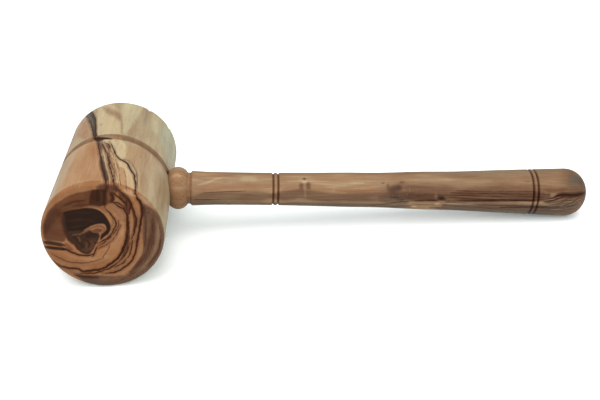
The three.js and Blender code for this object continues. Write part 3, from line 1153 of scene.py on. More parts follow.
# %% Dark lines of the side
SIDE_INK = {
    "long line": (
        1.2, (108.6, 140.7), (111.4, 145), (113.6, 150), (115.7, 154.3), (118.2, 157.5),
        (122.1, 160.4), (125, 161.4), (127.9, 164.3), (129.3, 167.9), (131.4, 171.4),
        (133.6, 174.3), (133.9, 178.6), (135.2, 183), (135.2, 187), (134.3, 191.6),
        (136.4, 195.7), (139.5, 199.5),
    ),
    "long line's weight": (
        1.9, (118.6, 158), (124, 161.2), (128, 164.6), (129.6, 168.6), (133.4, 174.4), (134, 180)
    ),
    "second bend": (1.2, (133.8, 177), (135.2, 183), (135.2, 188), (134.4, 193)),
    "left line of the bundle": (
        1.5, (96.8, 140), (98.2, 146), (99.3, 151.4), (100.4, 158.6), (101.8, 165.7), (103.6, 173),
        (105.4, 181), (106, 190),
    ),
    "second line of the bundle": (
        0.9, (101, 140.5), (102.4, 144), (104.3, 148.6), (106.4, 153.8), (107.9, 159), (109.3, 166),
        (111.2, 173), (112.4, 181),
    ),
    "small knot of lines": (1.0, (104, 142), (107.4, 143.4), (109.4, 146), (109.6, 148.6)),
    "streak's right edge": (1.3, (91, 110.8), (93.6, 115), (95, 120.5), (95.4, 128), (95, 137)),
    "streak's left edge": (1.2, (86.4, 117.8), (88.8, 121), (90.8, 126), (92.4, 131), (93.6, 138)),
    # A painted shadow: the dark gap where the ring groove runs under the bead.
    "painted shadow at the bead": (2.2, (167, 172.2), (168, 173.4)),
}
HEAD_INK = {**FACE_INK, **SIDE_INK}
print("dark lines on the side:", len(SIDE_INK))

# %% Brown and pale lines of the head
HEAD_UMBER = {
    "thin ring": (
        1.2, (49.9, 252.5), (57.1, 256.5), (65.2, 260.4), (75.8, 262.3), (87.1, 262), (95.2, 260.3),
        (103.3, 257),
    ),
    "thin swirl": (1.2, (109.8, 243.3), (107.3, 249.4), (104, 254), (101.7, 258.7)),
    "main ring's shade": (1.8, (121, 257), (126, 247), (128.2, 238), (128.6, 226)),
    "middle ring's shade": (2.0, (131, 208), (133, 214), (134.4, 222), (132.8, 231)),
    "outer ring's shade": (2.0, (139.6, 206), (141, 214), (139.4, 226), (137.6, 238), (135.4, 250)),
    "olive line": (
        1.2, (119.3, 159.3), (125, 159.3), (128.6, 160.7), (131.4, 164.3), (134.8, 168.6),
        (136.4, 173), (136.8, 179), (137, 186),
    ),
    "wedge's left": (0.6, (117, 162), (118.6, 170), (119.6, 180), (121.4, 189)),
    "wedge's right": (0.8, (123.6, 168), (125, 175.6), (125.8, 184), (126.2, 192)),
    "grain of the face": (0.5, (66, 204), (76, 200.5), (88, 199)),
    "second grain": (0.5, (58, 210), (66, 205), (72, 203)),
}
HEAD_PALE = {
    "groove's far glint": (0.9, (98, 143), (108, 141.6), (120, 142.2)),
    "long line's glint": (0.8, (121.5, 162), (126, 164), (128.6, 169.5), (131, 174), (132, 181)),
}
print("brown and pale lines:", len(HEAD_UMBER) + len(HEAD_PALE))

# %% Lines that fan out
HALF_LEFT = ((143, 206), (143.6, 222), (142.6, 240), (139, 256), (130, 268), (116, 277))
HALF_RIGHT = ((151, 207), (160, 222), (163, 240), (160, 255), (150, 267), (126, 283))
BUNDLE_LEFT = (
    (97, 141), (99.3, 151.4), (100.6, 159), (102, 166), (103.8, 173), (106, 185), (107, 190),
)
BUNDLE_RIGHT = (
    (108.6, 141), (112, 147), (114.6, 153), (116.6, 160), (118, 168), (120, 178), (122, 190),
)
FAN_POINTS = 24
FAN_BENDS = 14
FAN_SHIFT = 20


def fan(name, left, right, widths, sway=0.09):
    """Lines that fan out between two border lines, each at its share of the way across."""
    places = np.linspace(0, 1, FAN_POINTS)[:, None]
    borders = []
    for border in (left, right):
        line = smoothed(border, BRUSH_STEP)
        borders.append(line[np.round(places[:, 0] * (len(line) - 1)).astype(int)])
    lines = {}
    for share, width in widths.items():
        bend = sway * np.sin(FAN_BENDS * places + FAN_SHIFT * share) * (1 - abs(2 * share - 1))
        line = borders[0] + (borders[1] - borders[0]) * (share + bend)
        lines["%s %.2f" % (name, share)] = (width, *line)
    return lines


HEAD_INK.update(fan("bundle", BUNDLE_LEFT, BUNDLE_RIGHT, {0.6: 0.5}))
brown_shares = {0.16: 0.8, 0.48: 0.8, 0.68: 0.5, 0.8: 0.5, 0.93: 0.5}
HEAD_UMBER.update(fan("bundle", BUNDLE_LEFT, BUNDLE_RIGHT, brown_shares))
half_shares = {0.1: 0.5, 0.3: 0.3, 0.46: 0.6, 0.56: 0.4, 0.86: 0.5}
HEAD_UMBER.update(fan("brown half", HALF_LEFT, HALF_RIGHT, half_shares, 0.03))
pale_shares = {0.24: 0.9, 0.54: 0.6, 0.74: 0.6, 0.88: 0.6}
HEAD_PALE.update(fan("bundle", BUNDLE_LEFT, BUNDLE_RIGHT, pale_shares))
print("all lines on the head:", len(HEAD_INK) + len(HEAD_UMBER) + len(HEAD_PALE))

# %% [markdown]
# ## Putting the marks on the head
# The face's stains would run over the rim onto the side, so each point takes the face's or
# the side's stains by the way it faces. The face is a touch deeper in tone. The ring groove is
# darker and warmer too. The mesh also keeps how far the photograph shows each point, so that
# the shader knows where to draw growth rings of its own.

# %% Mark the head
HEAD_FIBRE = (0, 1, 0)
HANDLE_FIBRE = (1, 0, 0)
HEAD_WANDER = 0.16
HANDLE_WANDER = 0.04
FACE_FROM = 0.1
FACE_FULLY = 0.45
GROOVE_TONE = 0.17
GROOVE_DARK_INSIDE = 0.7
GROOVE_DARK_OUTSIDE = 0.3
FACE_DEPTH = 0.025
HEART = (88, 236)

wood = Wood(head_mesh, HEAD_FIBRE, HEAD_WANDER)
refine(wood, np.minimum(wood.strokes(HEAD_INK), wood.strokes(HEAD_UMBER)))
side_tone, side_warmth = wood.stain(SIDE_STAINS, SIDE_TONE, SIDE_WARMTH)
face_tone, face_warmth = wood.stain(FACE_STAINS, SIDE_TONE, SIDE_WARMTH)
on_face = smooth_step(-wood.normals @ wood.fibre, FACE_FROM, FACE_FULLY)
past_groove = abs(wood.points[:, 1]) - groove_half
rubbed = 1 - smooth_step(past_groove, -GROOVE_DARK_INSIDE, GROOVE_DARK_OUTSIDE)
heart = Vector(wood.place([HEART])[0])
wood.keep_lines(HEAD_INK, HEAD_UMBER, HEAD_PALE)
wood.keep(
    tone=side_tone + on_face * (face_tone + FACE_DEPTH - side_tone),
    warmth=side_warmth + on_face * (face_warmth - side_warmth),
    rubbed=rubbed * GROOVE_TONE,
)
print("head, marked:", len(head_mesh.vertices), "points,", len(head_mesh.polygons), "faces")

# %% [markdown]
# ## The handle's marks
# The handle's figure runs along it: honey on top, a dark brown band below the middle that
# deepens towards the rear, a darker, greyer lower edge, a small knot near the front rings, a
# cluster of dark flecks in the middle, and a black line that ends in a swirl on the round end.
# The grey of the lower edge is partly a painted reflection of the white floor, and the lowest
# edge near the round end carries a painted contact shadow. The bead has a painted highlight on
# top and painted shade below. The handle is a touch deeper all over, and the cut rings are
# darker, as the groove is.

# %% Bead and near part of the handle
HANDLE_TONE = 0.18
HANDLE_WARMTH = 0.68
NEAR_HANDLE = {
    "rear half": patch(70, 0.265, 0.72, (450, 120), (700, 120), (700, 260), (450, 260)),
    "top edge": band(5, 4, 0.28, 0.85, (200, 171), (300, 171.5), (420, 171), (500, 169)),
    "bead": patch(2, 0.17, 0.78, (166, 160), (187, 160), (187, 192), (166, 192)),
    # A painted highlight on the upper part of the bead.
    "bead's painted highlight": band(3, 3, 0.08, 0.75, (172, 176), (176, 174), (180, 176)),
    # The bead's lower part is painted redder, which is the wood's own colour, and darker, which is
    # painted shade.
    "bead's red foot in painted shade": band(16, 8, 0.24, 0.9, (160, 198), (172, 199), (180, 199), (190, 198)),
    "neck": band(4.4, 1.5, 0.22, 0.9, (189.4, 158), (189.4, 187), (189.4, 216)),
    "near orange": band(4, 4, 0.16, 0.85, (194, 174), (208, 174), (222, 175.5)),
    "near figure": band(2.2, 2, 0.11, 0.55, (196, 185), (206, 182.5), (214, 179), (222, 177.5)),
    "near pale": band(4, 4, 0.12, 0.55, (240, 179), (248, 179), (256, 179)),
    "near red": band(6, 4, 0.18, 0.8, (192, 188), (212, 187.5), (240, 186.5), (272, 186)),
    "second red": band(4, 4, 0.21, 0.85, (284, 188), (296, 186), (310, 187), (330, 189)),
}
print("stains on the near part:", len(NEAR_HANDLE))

# %% Middle of the handle
MIDDLE = {
    "honey, middle": band(9, 6, 0.18, 0.74, (310, 179), (330, 179), (350, 178), (372, 177)),
    "pale, middle": band(3, 4, 0.13, 0.5, (316, 183), (340, 184), (362, 183)),
    "red, middle": band(3, 3, 0.26, 0.95, (336, 190.5), (352, 191), (370, 190), (382, 188)),
    "knot": band(1.8, 1.4, 0.6, 0.95, (302.6, 178.4), (305.8, 178.2)),
    "band, near": band(
        11, 4, 0.34, 0.7, (188, 198.6), (206, 198), (224, 197), (250, 196), (272, 195.4),
    ),
    "band, front half": band(
        10, 4, 0.38, 0.74, (270, 195.6), (286, 195), (300, 193.4), (312, 194.8), (330, 197),
        (352, 197),
    ),
    "knot's shade": band(4.4, 3, 0.42, 0.85, (301, 183.6), (300.6, 188.6)),
    "knot's right shade": band(4.4, 3, 0.42, 0.85, (307.6, 182.6), (307.8, 188)),
    "knot's light": band(2, 1.6, 0.13, 0.5, (301.6, 181.4), (306.6, 181.4)),
    "light below the knot": band(1.6, 1.6, 0.29, 0.6, (304.4, 186), (304.8, 198)),
    "band, middle": band(9, 4, 0.4, 0.7, (340, 197), (360, 197), (390, 196)),
    # Darker and greyer along the lower edge; the grey is partly a painted reflection of the white
    # floor.
    "low grey, near": band(5, 3, 0.42, 0.45, (186, 203), (230, 204), (275, 204.6)),
    "low grey, middle": band(6, 3, 0.48, 0.5, (270, 204.4), (330, 205.4), (410, 206)),
}
print("stains on the middle:", len(MIDDLE))

# %% Cluster of dark flecks
CLUSTER = {
    "cluster's haze": band(
        14, 10, 0.36, 0.78, (372, 197), (384, 194), (400, 190), (416, 190), (436, 192), (462, 194)
    ),
    "cluster's floor": band(9, 5, 0.48, 0.74, (380, 197), (396, 195.6), (420, 195.4), (446, 196)),
    "cluster's smear": band(3, 2.4, 0.44, 0.8, (387.4, 184), (388, 192), (388, 200)),
    "cluster's blob": band(6, 5, 0.6, 0.82, (390, 190), (395, 188.6), (400, 187)),
    "cluster's grey": band(9, 5, 0.56, 0.6, (390, 197.6), (398, 198), (408, 198.6)),
    "cluster's top": band(2, 2, 0.42, 0.9, (399, 182), (404, 181.6)),
    "dark below the cluster": band(4, 3, 0.46, 0.6, (380, 200), (392, 200.6), (410, 200)),
    "purple": band(6, 5, 0.42, 0.8, (406, 188), (424, 189.4), (438, 191)),
    "dark red": band(6, 3, 0.55, 0.86, (406, 196), (420, 196.6), (436, 196.6)),
    "gap": band(3, 2.4, 0.38, 0.85, (435.6, 190), (435.6, 198)),
    "second knot": band(4.4, 3.4, 0.72, 0.85, (438, 197.4), (445, 197.6)),
    "lilac": band(3, 2.4, 0.5, 0.5, (445, 197), (450, 197)),
}
print("stains of the cluster:", len(CLUSTER))

# %% Rear part of the handle
REAR = {
    "rear red, upper": band(
        6, 5, 0.37, 0.84, (452, 189.6), (480, 190), (500, 187.6), (536, 187.5), (560, 188)
    ),
    "rear band": band(
        10, 4, 0.51, 0.86, (446, 195.4), (470, 195.4), (500, 195.4), (534, 195.4), (548, 195),
    ),
    "rear pale": band(6, 6, 0.17, 0.6, (402, 177), (430, 177), (450, 180), (470, 182), (490, 181)),
    "second rear pale": band(4, 4, 0.22, 0.7, (492, 182), (506, 181), (522, 182)),
    "rear top": band(5, 5, 0.26, 0.55, (430, 173), (480, 172.5), (530, 172), (560, 172)),
    "low, rear": band(8, 3, 0.47, 0.6, (430, 206), (470, 207), (510, 208), (560, 209)),
    "light patch": patch(
        1.4, 0.25, 0.78, (409, 203), (416, 201.6), (426, 201.4), (433, 200.8), (441, 201.4),
        (441.6, 205), (432, 206.4), (420, 207), (410, 207),
    ),
    "gold corner": band(2, 1.6, 0.12, 0.75, (410.6, 206), (416, 205.8)),
    "gold end": band(2.4, 1.6, 0.16, 0.62, (434, 203.4), (439, 203.2)),
    "pale streak": band(1.6, 1.2, 0.27, 0.55, (446, 203.4), (460, 203.6), (482, 203.4)),
    "second streak": band(1.6, 1.2, 0.26, 0.6, (494, 201.8), (510, 201.7), (530, 201.8)),
    "dark streak": band(2.4, 2, 0.48, 0.6, (478, 206.6), (500, 206.8), (530, 206.6), (552, 206.2)),
    "olive foot": band(4.5, 3, 0.46, 0.4, (450, 211), (510, 212), (540, 212.4), (566, 211.6)),
    # A painted contact shadow on the lowest edge, where the handle rests on the floor.
    "painted contact shadow": band(2.4, 2, 0.62, 0.5, (490, 215), (520, 216), (560, 216.4), (574, 214.6)),
}
print("stains on the rear part:", len(REAR))

# %% Round end
ROUND_END = {
    "end's ground": patch(
        20, 0.41, 0.72, (566, 164), (580, 168), (592, 180), (596, 194), (590, 212), (566, 224),
        (562, 196),
    ),
    "end's red": band(4, 3, 0.42, 0.95, (544, 189.4), (556, 190), (566, 188.6)),
    "end's gold": band(5, 3, 0.42, 0.62, (546, 202.4), (560, 202.2), (572, 200.6)),
    "end's dark": band(5, 3.5, 0.58, 0.75, (558, 194), (570, 194.6), (586, 193)),
    "end's low": band(5, 3, 0.5, 0.5, (548, 208.4), (562, 207.6), (576, 203.6)),
    "olive patch": patch(5, 0.48, 0.2, (570, 175), (577, 175.4), (582, 181), (577, 186), (570, 182)),
    "end's shade": band(6, 5, 0.54, 0.7, (580, 177), (587, 188), (584, 202)),
}
HANDLE_STAINS = {**NEAR_HANDLE, **MIDDLE, **CLUSTER, **REAR, **ROUND_END}
print("all stains on the handle:", len(HANDLE_STAINS))

# %% Lines of the handle
HANDLE_INK = {
    "black line": (
        2.3, (552, 197.6), (557, 195.4), (562, 194.2), (568, 194.6), (575, 194.6), (581, 193.4),
        (587, 191.6),
    ),
    "long line": (
        1.0, (446, 200.6), (480, 200.3), (500, 200.2), (520, 199.9), (534, 199.7), (542, 198.9),
        (551, 197.8), (557, 196),
    ),
    "first swirl": (0.8, (544, 201.4), (553, 199.8), (559, 197.6), (565, 196)),
    "low streak": (0.7, (500, 207), (530, 206.8), (548, 207), (558, 206)),
    "dark speck": (1.2, (440, 198), (442, 198.2)),
    "patch's upper edge": (0.8, (412, 200.6), (424, 200.2), (437, 200)),
}
HANDLE_UMBER = {
    "near line": (0.9, (192, 199.4), (206, 199), (220, 198.4)),
    "second near line": (0.8, (200, 192.6), (220, 191.4), (246, 190.6)),
    "middle mark": (1.3, (381, 183), (384, 182.4)),
    "low dark": (1.2, (366, 204.6), (380, 204.4), (388, 203), (398, 201.4), (410, 200.8)),
    "second low dark": (1.0, (372, 207), (386, 206.4), (400, 206)),
    "grey line": (0.9, (392, 197), (400, 196.8)),
    "second grey line": (0.9, (394, 199.6), (404, 199.2)),
    "second swirl": (1.2, (556, 203.4), (562, 201.4), (567, 198), (572, 197)),
    "third swirl": (1.1, (560, 206), (568, 203.4), (575, 199.6), (579, 197)),
    "fourth swirl": (0.9, (566, 207.6), (574, 204), (580, 199)),
    "patch's lower line": (0.8, (414, 204.4), (424, 204), (436, 204.6)),
}
HANDLE_PALE = {
    "middle streak": (1.0, (374, 205.6), (386, 204.6), (398, 204.2)),
    "end's streak": (0.8, (548, 203), (556, 200.8), (561, 198.4)),
    "end's second streak": (0.8, (562, 204.6), (570, 201.4), (575, 198.2)),
    "low streak": (0.8, (548, 209.6), (560, 209), (570, 206.6)),
}
print("dark lines on the handle:", len(HANDLE_INK))

# %% Lines that fan out on the handle
END_TOP = ((545, 200), (555, 197.6), (565, 196.6), (575, 196.4), (584, 195))
END_FOOT = ((545, 214), (560, 213.6), (575, 210), (585, 203))
REAR_TOP = ((436, 187), (470, 188), (500, 188), (534, 188), (556, 189))
REAR_FOOT = ((436, 207.4), (470, 209.6), (500, 212), (534, 213.6), (560, 213.4))
rear_shares = {0.12: 0.6, 0.22: 0.7, 0.34: 0.6, 0.47: 0.8, 0.7: 0.7, 0.86: 0.8}
HANDLE_UMBER.update(fan("rear", REAR_TOP, REAR_FOOT, rear_shares, 0.02))
HANDLE_PALE.update(fan("rear", REAR_TOP, REAR_FOOT, {0.4: 0.6, 0.76: 0.6, 0.93: 0.6}, 0.02))
HANDLE_UMBER.update(fan("end", END_TOP, END_FOOT, {0.22: 0.7, 0.4: 0.6, 0.6: 0.8, 0.82: 0.6}, 0.03))
HANDLE_PALE.update(fan("end", END_TOP, END_FOOT, {0.3: 0.7, 0.5: 0.7, 0.7: 0.5}, 0.03))
print("brown lines on the handle:", len(HANDLE_UMBER))

# %% Pale flecks of the cluster
FLECKS = ((392, 196), (399, 194), (403, 191), (406, 194), (409, 189), (412, 192), (417, 190))


def flecks():
    """Short pale marks across the grain, where the fibres of the cluster turn outward."""
    return {
        "fleck %d" % i: (0.7, (x, y - 3), (x + 0.4, y), (x, y + 2 + i % 3))
        for i, (x, y) in enumerate(FLECKS)
    }


HANDLE_PALE.update(flecks())
print("pale lines on the handle:", len(HANDLE_PALE))

# %% Mark the handle
RING_TONE = 0.3
RING_FLOOR = 0.3
HANDLE_DEPTH = 0.022

wood = Wood(handle_mesh, HANDLE_FIBRE, HANDLE_WANDER)
refine(wood, np.minimum(wood.strokes(HANDLE_INK), wood.strokes(HANDLE_UMBER)))
tone, warmth = wood.stain(HANDLE_STAINS, HANDLE_TONE, HANDLE_WARMTH)
ring_gap = np.min([abs(wood.points[:, 0] - shoulder - ring) for ring in ring_places], axis=0)
rubbed = 1 - smooth_step(ring_gap, RING_FLOOR, RING_WIDTH / 2)
wood.keep_lines(HANDLE_INK, HANDLE_UMBER, HANDLE_PALE)
wood.keep(tone=tone + HANDLE_DEPTH, warmth=warmth, rubbed=rubbed * RING_TONE)
print("handle, marked:", len(handle_mesh.vertices), "points,", len(handle_mesh.polygons), "faces")

# %% [markdown]
# ## Fibres
# Close up, wood is fine streaks along the fibre, with short dark pores between them. Noise
# that is stretched along the fibre makes both. The group reads wood space: millimetres, with
# X along the fibre. Both woods use it, each with its own turn of the Mapping node.

# %% Shader helpers


def paint(red, green, blue):
    """A colour as a paint shop would mix it, from values out of 255."""
    tones = (value / 255 for value in (red, green, blue))
    linear = [tone / 12.92 if tone < 0.04045 else ((tone + 0.055) / 1.055) ** 2.4 for tone in tones]
    return (*linear, 1)


def sums(tree, operation, first, second, third=None):
    """One step of arithmetic in a node tree."""
    inputs = {0: first, 1: second}
    if third is not None:
        inputs[2] = third
    return add(tree, "ShaderNodeMath", inputs, operation=operation).outputs[0]


def ranged(tree, value, low, high, to_low=0.0, to_high=1.0):
    """A value eased from one range to another."""
    inputs = {"Value": value, "From Min": low, "From Max": high, "To Min": to_low, "To Max": to_high}
    return add(tree, "ShaderNodeMapRange", inputs, interpolation_type="SMOOTHSTEP").outputs[0]


def mixed(tree, share, first, second):
    """A mix of two values."""
    inputs = {"Factor": share, "A": first, "B": second}
    return add(tree, "ShaderNodeMix", inputs, data_type="FLOAT").outputs[0]


def vector_sums(tree, operation, first, second):
    """One step of arithmetic with vectors."""
    return add(tree, "ShaderNodeVectorMath", {0: first, 1: second}, operation=operation).outputs[0]


def stretched(tree, space, share):
    """A space in which noise comes out drawn along the fibre, to a share of its steps there."""
    return vector_sums(tree, "MULTIPLY", space, (share, 1, 1))


def noise(tree, vector, scale, detail=2.0, roughness=0.5):
    """Soft noise between 0 and 1."""
    inputs = {"Vector": vector, "Scale": scale, "Detail": detail, "Roughness": roughness}
    return add(tree, "ShaderNodeTexNoise", inputs).outputs[0]


def wave(tree, value, scale):
    """Uneven waves along one value, between -0.5 and 0.5."""
    inputs = {"W": value, "Scale": scale, "Detail": 2.0}
    made = add(tree, "ShaderNodeTexNoise", inputs, noise_dimensions="1D")
    return sums(tree, "SUBTRACT", made.outputs[0], 0.5)


# %% Fibre group
STREAK_STRETCH = 0.05
PORE_STRETCH = 0.12
MOTTLE_STRETCH = 0.3
BROAD_SCALE = 0.28
PORE_SCALE = 1.6
MOTTLE_SCALE = 0.14
PORE_FROM = 0.64
PORE_FULLY = 0.76
PORE_DEPTH = 0.8
FINE_SHARE = 0.6


def fibre_group():
    """Streaks, pores, mottling and surface height of any wood."""
    tree, given, result = new_tree(
        "Fibre",
        "ShaderNodeTree",
        [("Wood space", "Vector"), ("Streak width", "Float")],
        [("Streaks", "Float"), ("Pores", "Float"), ("Mottle", "Float"), ("Height", "Float")],
    )
    size = sums(tree, "DIVIDE", 1.0, given["Streak width"])
    streak_space, pore_space, mottle_space = (
        stretched(tree, given["Wood space"], share)
        for share in (STREAK_STRETCH, PORE_STRETCH, MOTTLE_STRETCH)
    )
    broad = noise(tree, streak_space, sums(tree, "MULTIPLY", size, BROAD_SCALE), detail=3)
    fine = noise(tree, streak_space, size, detail=3, roughness=0.6)
    pores = noise(tree, pore_space, sums(tree, "MULTIPLY", size, PORE_SCALE), detail=1)
    pore = ranged(tree, pores, PORE_FROM, PORE_FULLY)
    mottle = noise(tree, mottle_space, sums(tree, "MULTIPLY", size, MOTTLE_SCALE))
    height = sums(tree, "SUBTRACT", fine, sums(tree, "MULTIPLY", pore, PORE_DEPTH))
    tree.links.new(mixed(tree, FINE_SHARE, broad, fine), result["Streaks"])
    tree.links.new(pore, result["Pores"])
    tree.links.new(mottle, result["Mottle"])
    tree.links.new(height, result["Height"])
    return tree


FIBRE = fibre_group()
print("fibre group with", len(FIBRE.nodes), "nodes")

# %% [markdown]
# ## Growth rings
# The photograph shows less than half of the wood. The rest gets rings of its own: they run
# round the pith, the log's middle, at even steps, and a slow noise pushes them about. So
# they close into rings on end grain and run in long waves down the sides. A second noise
# makes some of them black and leaves others faint. Near the pith the wood is darkest, then
# orange-brown, and far out it is pale.

# %% Growth ring group
RING_LINE = 0.34
SWAY = 20.0
SWAY_STRETCH = 0.2
SWAY_SCALE = 0.045
STRENGTH_SCALE = 0.05
STRENGTH_WAVE = 0.22
BLACK_FROM = 0.62
BLACK_FULLY = 0.78
BROWN_FROM = 0.46
HEART_TONE = 0.95
HEARTWOOD_TONE = 0.24
HEART_REACH = (4.0, 9.0)
SAPWOOD_TONE = -0.13
SAPWOOD_REACH = (14.0, 38.0)
SAPWOOD_WARMTH = 0.2
COOLING_REACH = (26.0, 46.0)
BAND_WAVE = 0.12
BAND_TONE = 0.5


def growth_group():
    """Rings about a pith, with tone and warmth, for the wood that the photograph hides."""
    tree, given, result = new_tree(
        "Growth rings",
        "ShaderNodeTree",
        [("Wood space", "Vector"), ("Pith", "Vector"), ("Spacing", "Float")],
        [("Ink", "Float"), ("Umber", "Float"), ("Tone", "Float"), ("Warmth", "Float")],
    )
    slow = stretched(tree, given["Wood space"], SWAY_STRETCH)
    from_pith = vector_sums(tree, "SUBTRACT", given["Wood space"], given["Pith"])
    across = vector_sums(tree, "MULTIPLY", from_pith, (0, 1, 1))
    even = add(tree, "ShaderNodeVectorMath", {0: across}, operation="LENGTH").outputs["Value"]
    push = sums(tree, "SUBTRACT", noise(tree, slow, SWAY_SCALE), 0.5)
    distance = sums(tree, "MULTIPLY_ADD", push, SWAY, even)
    step = sums(tree, "PINGPONG", sums(tree, "DIVIDE", distance, given["Spacing"]), 0.5)
    gap = sums(tree, "MULTIPLY", step, given["Spacing"])
    patches = noise(tree, slow, STRENGTH_SCALE, detail=1)
    strength = sums(tree, "ADD", wave(tree, distance, STRENGTH_WAVE), patches)
    black = ranged(tree, strength, BLACK_FROM, BLACK_FULLY)
    brown = ranged(tree, strength, BROWN_FROM, BLACK_FROM)
    core = ranged(tree, distance, *HEART_REACH, HEART_TONE, HEARTWOOD_TONE)
    outer = ranged(tree, distance, *SAPWOOD_REACH, 0.0, SAPWOOD_TONE)
    banded = sums(tree, "MULTIPLY_ADD", wave(tree, distance, BAND_WAVE), BAND_TONE, core)
    warmth = ranged(tree, distance, *COOLING_REACH, 1.0, SAPWOOD_WARMTH)
    tree.links.new(sums(tree, "MULTIPLY_ADD", black, -RING_LINE, gap), result["Ink"])
    tree.links.new(sums(tree, "MULTIPLY_ADD", brown, -RING_LINE, gap), result["Umber"])
    tree.links.new(sums(tree, "ADD", banded, outer), result["Tone"])
    tree.links.new(warmth, result["Warmth"])
    return tree


GROWTH = growth_group()
print("growth ring group with", len(GROWTH.nodes), "nodes")

# %% [markdown]
# ## Olive wood
# This group puts the wood's colour together. Two colour ramps go from pale to near-black,
# one through orange and brown, the other through grey-green, and the warmth mixes them.
# Lines, stains and fibres all move the wood along the ramps. Where the photograph shows the
# wood, the drawn marks rule, and elsewhere the growth rings do.

# %% Colours of olive wood
WARM_TONES = {
    0: paint(177, 140, 101),
    0.2: paint(131, 92, 63),
    0.4: paint(96, 64, 43),
    0.6: paint(69, 41, 27),
    0.8: paint(46, 24, 11),
    1: paint(30, 14, 7),
}
COOL_TONES = {
    0: paint(178, 170, 138),
    0.2: paint(131, 124, 102),
    0.4: paint(96, 88, 74),
    0.6: paint(69, 62, 54),
    0.8: paint(46, 40, 33),
    1: paint(28, 22, 18),
}


def tone_ramp(tree, tone, tones):
    """A colour ramp from tones to colours."""
    ramp = add(tree, "ShaderNodeValToRGB", {0: tone})
    stops = ramp.color_ramp.elements
    while len(stops) < len(tones):
        stops.new(0.5)
    for stop, (place, colour) in zip(stops, tones.items()):
        stop.position = place
        stop.color = colour
    return ramp.outputs[0]


# %% Fibres and lines in the wood's tone
EDGE_WIDTH = 0.16
RAGGED = 0.6
RAGGED_SCALE = 0.8
UMBER_TONE = 0.22
PALE_TONE = -0.14
HALO_TONE = 0.12
HALO_WIDTH = 1.3
ECHO_TONE = 0.22
ECHO_FROM = 1.0
ECHO_WAVE = 1.6
PORE_TONE = 0.09
END_GRAIN_STREAKS = 0.35
END_GRAIN_REACH = (0.5, 0.9)


def ragged_masks(tree, space, gaps):
    """Masks of lines, each cut from the distance to the line with an uneven edge."""
    grain_space = stretched(tree, space, MOTTLE_STRETCH)
    ragged = sums(tree, "SUBTRACT", noise(tree, grain_space, RAGGED_SCALE), 0.5)
    masks = {}
    for name, gap in gaps.items():
        torn = sums(tree, "MULTIPLY_ADD", ragged, RAGGED, gap)
        masks[name] = ranged(tree, torn, -EDGE_WIDTH, EDGE_WIDTH, 1.0, 0.0)
    return masks


def with_fibres(tree, tone, fibre, end_grain, strength):
    """A tone with streaks, which are calmer on end grain, and with pores."""
    calm = ranged(tree, end_grain, *END_GRAIN_REACH, 1.0, END_GRAIN_STREAKS)
    streak = sums(tree, "MULTIPLY", sums(tree, "SUBTRACT", fibre["Streaks"], 0.5), calm)
    tone = sums(tree, "MULTIPLY_ADD", streak, strength, tone)
    return sums(tree, "MULTIPLY_ADD", fibre["Pores"], PORE_TONE, tone)


def with_lines(tree, tone, ink_gap, masks):
    """A tone with brown and pale lines, and with the halo and fainter echoes of dark ones."""
    halo = ranged(tree, ink_gap, 0.0, HALO_WIDTH, HALO_TONE, 0.0)
    near = ranged(tree, ink_gap, ECHO_FROM, FAR, ECHO_TONE, 0.0)
    echo = sums(tree, "MULTIPLY", wave(tree, ink_gap, ECHO_WAVE), near)
    tone = sums(tree, "ADD", tone, sums(tree, "ADD", halo, echo))
    tone = sums(tree, "MULTIPLY_ADD", masks["umber"], UMBER_TONE, tone)
    return sums(tree, "MULTIPLY_ADD", masks["pale"], PALE_TONE, tone)


# %% Olive wood group
MARKS = ("ink", "umber", "pale", "tone", "warmth", "rubbed", "end_grain", "seen")
STREAK_WIDTH = 0.9
MOTTLE_TONE = 0.12
MOTTLE_WARMTH = 0.35
INK_UNEVEN = 0.5
INK_WARMTH = 1.25
SMOOTHEST = 0.42
STREAK_ROUGHNESS = 0.14


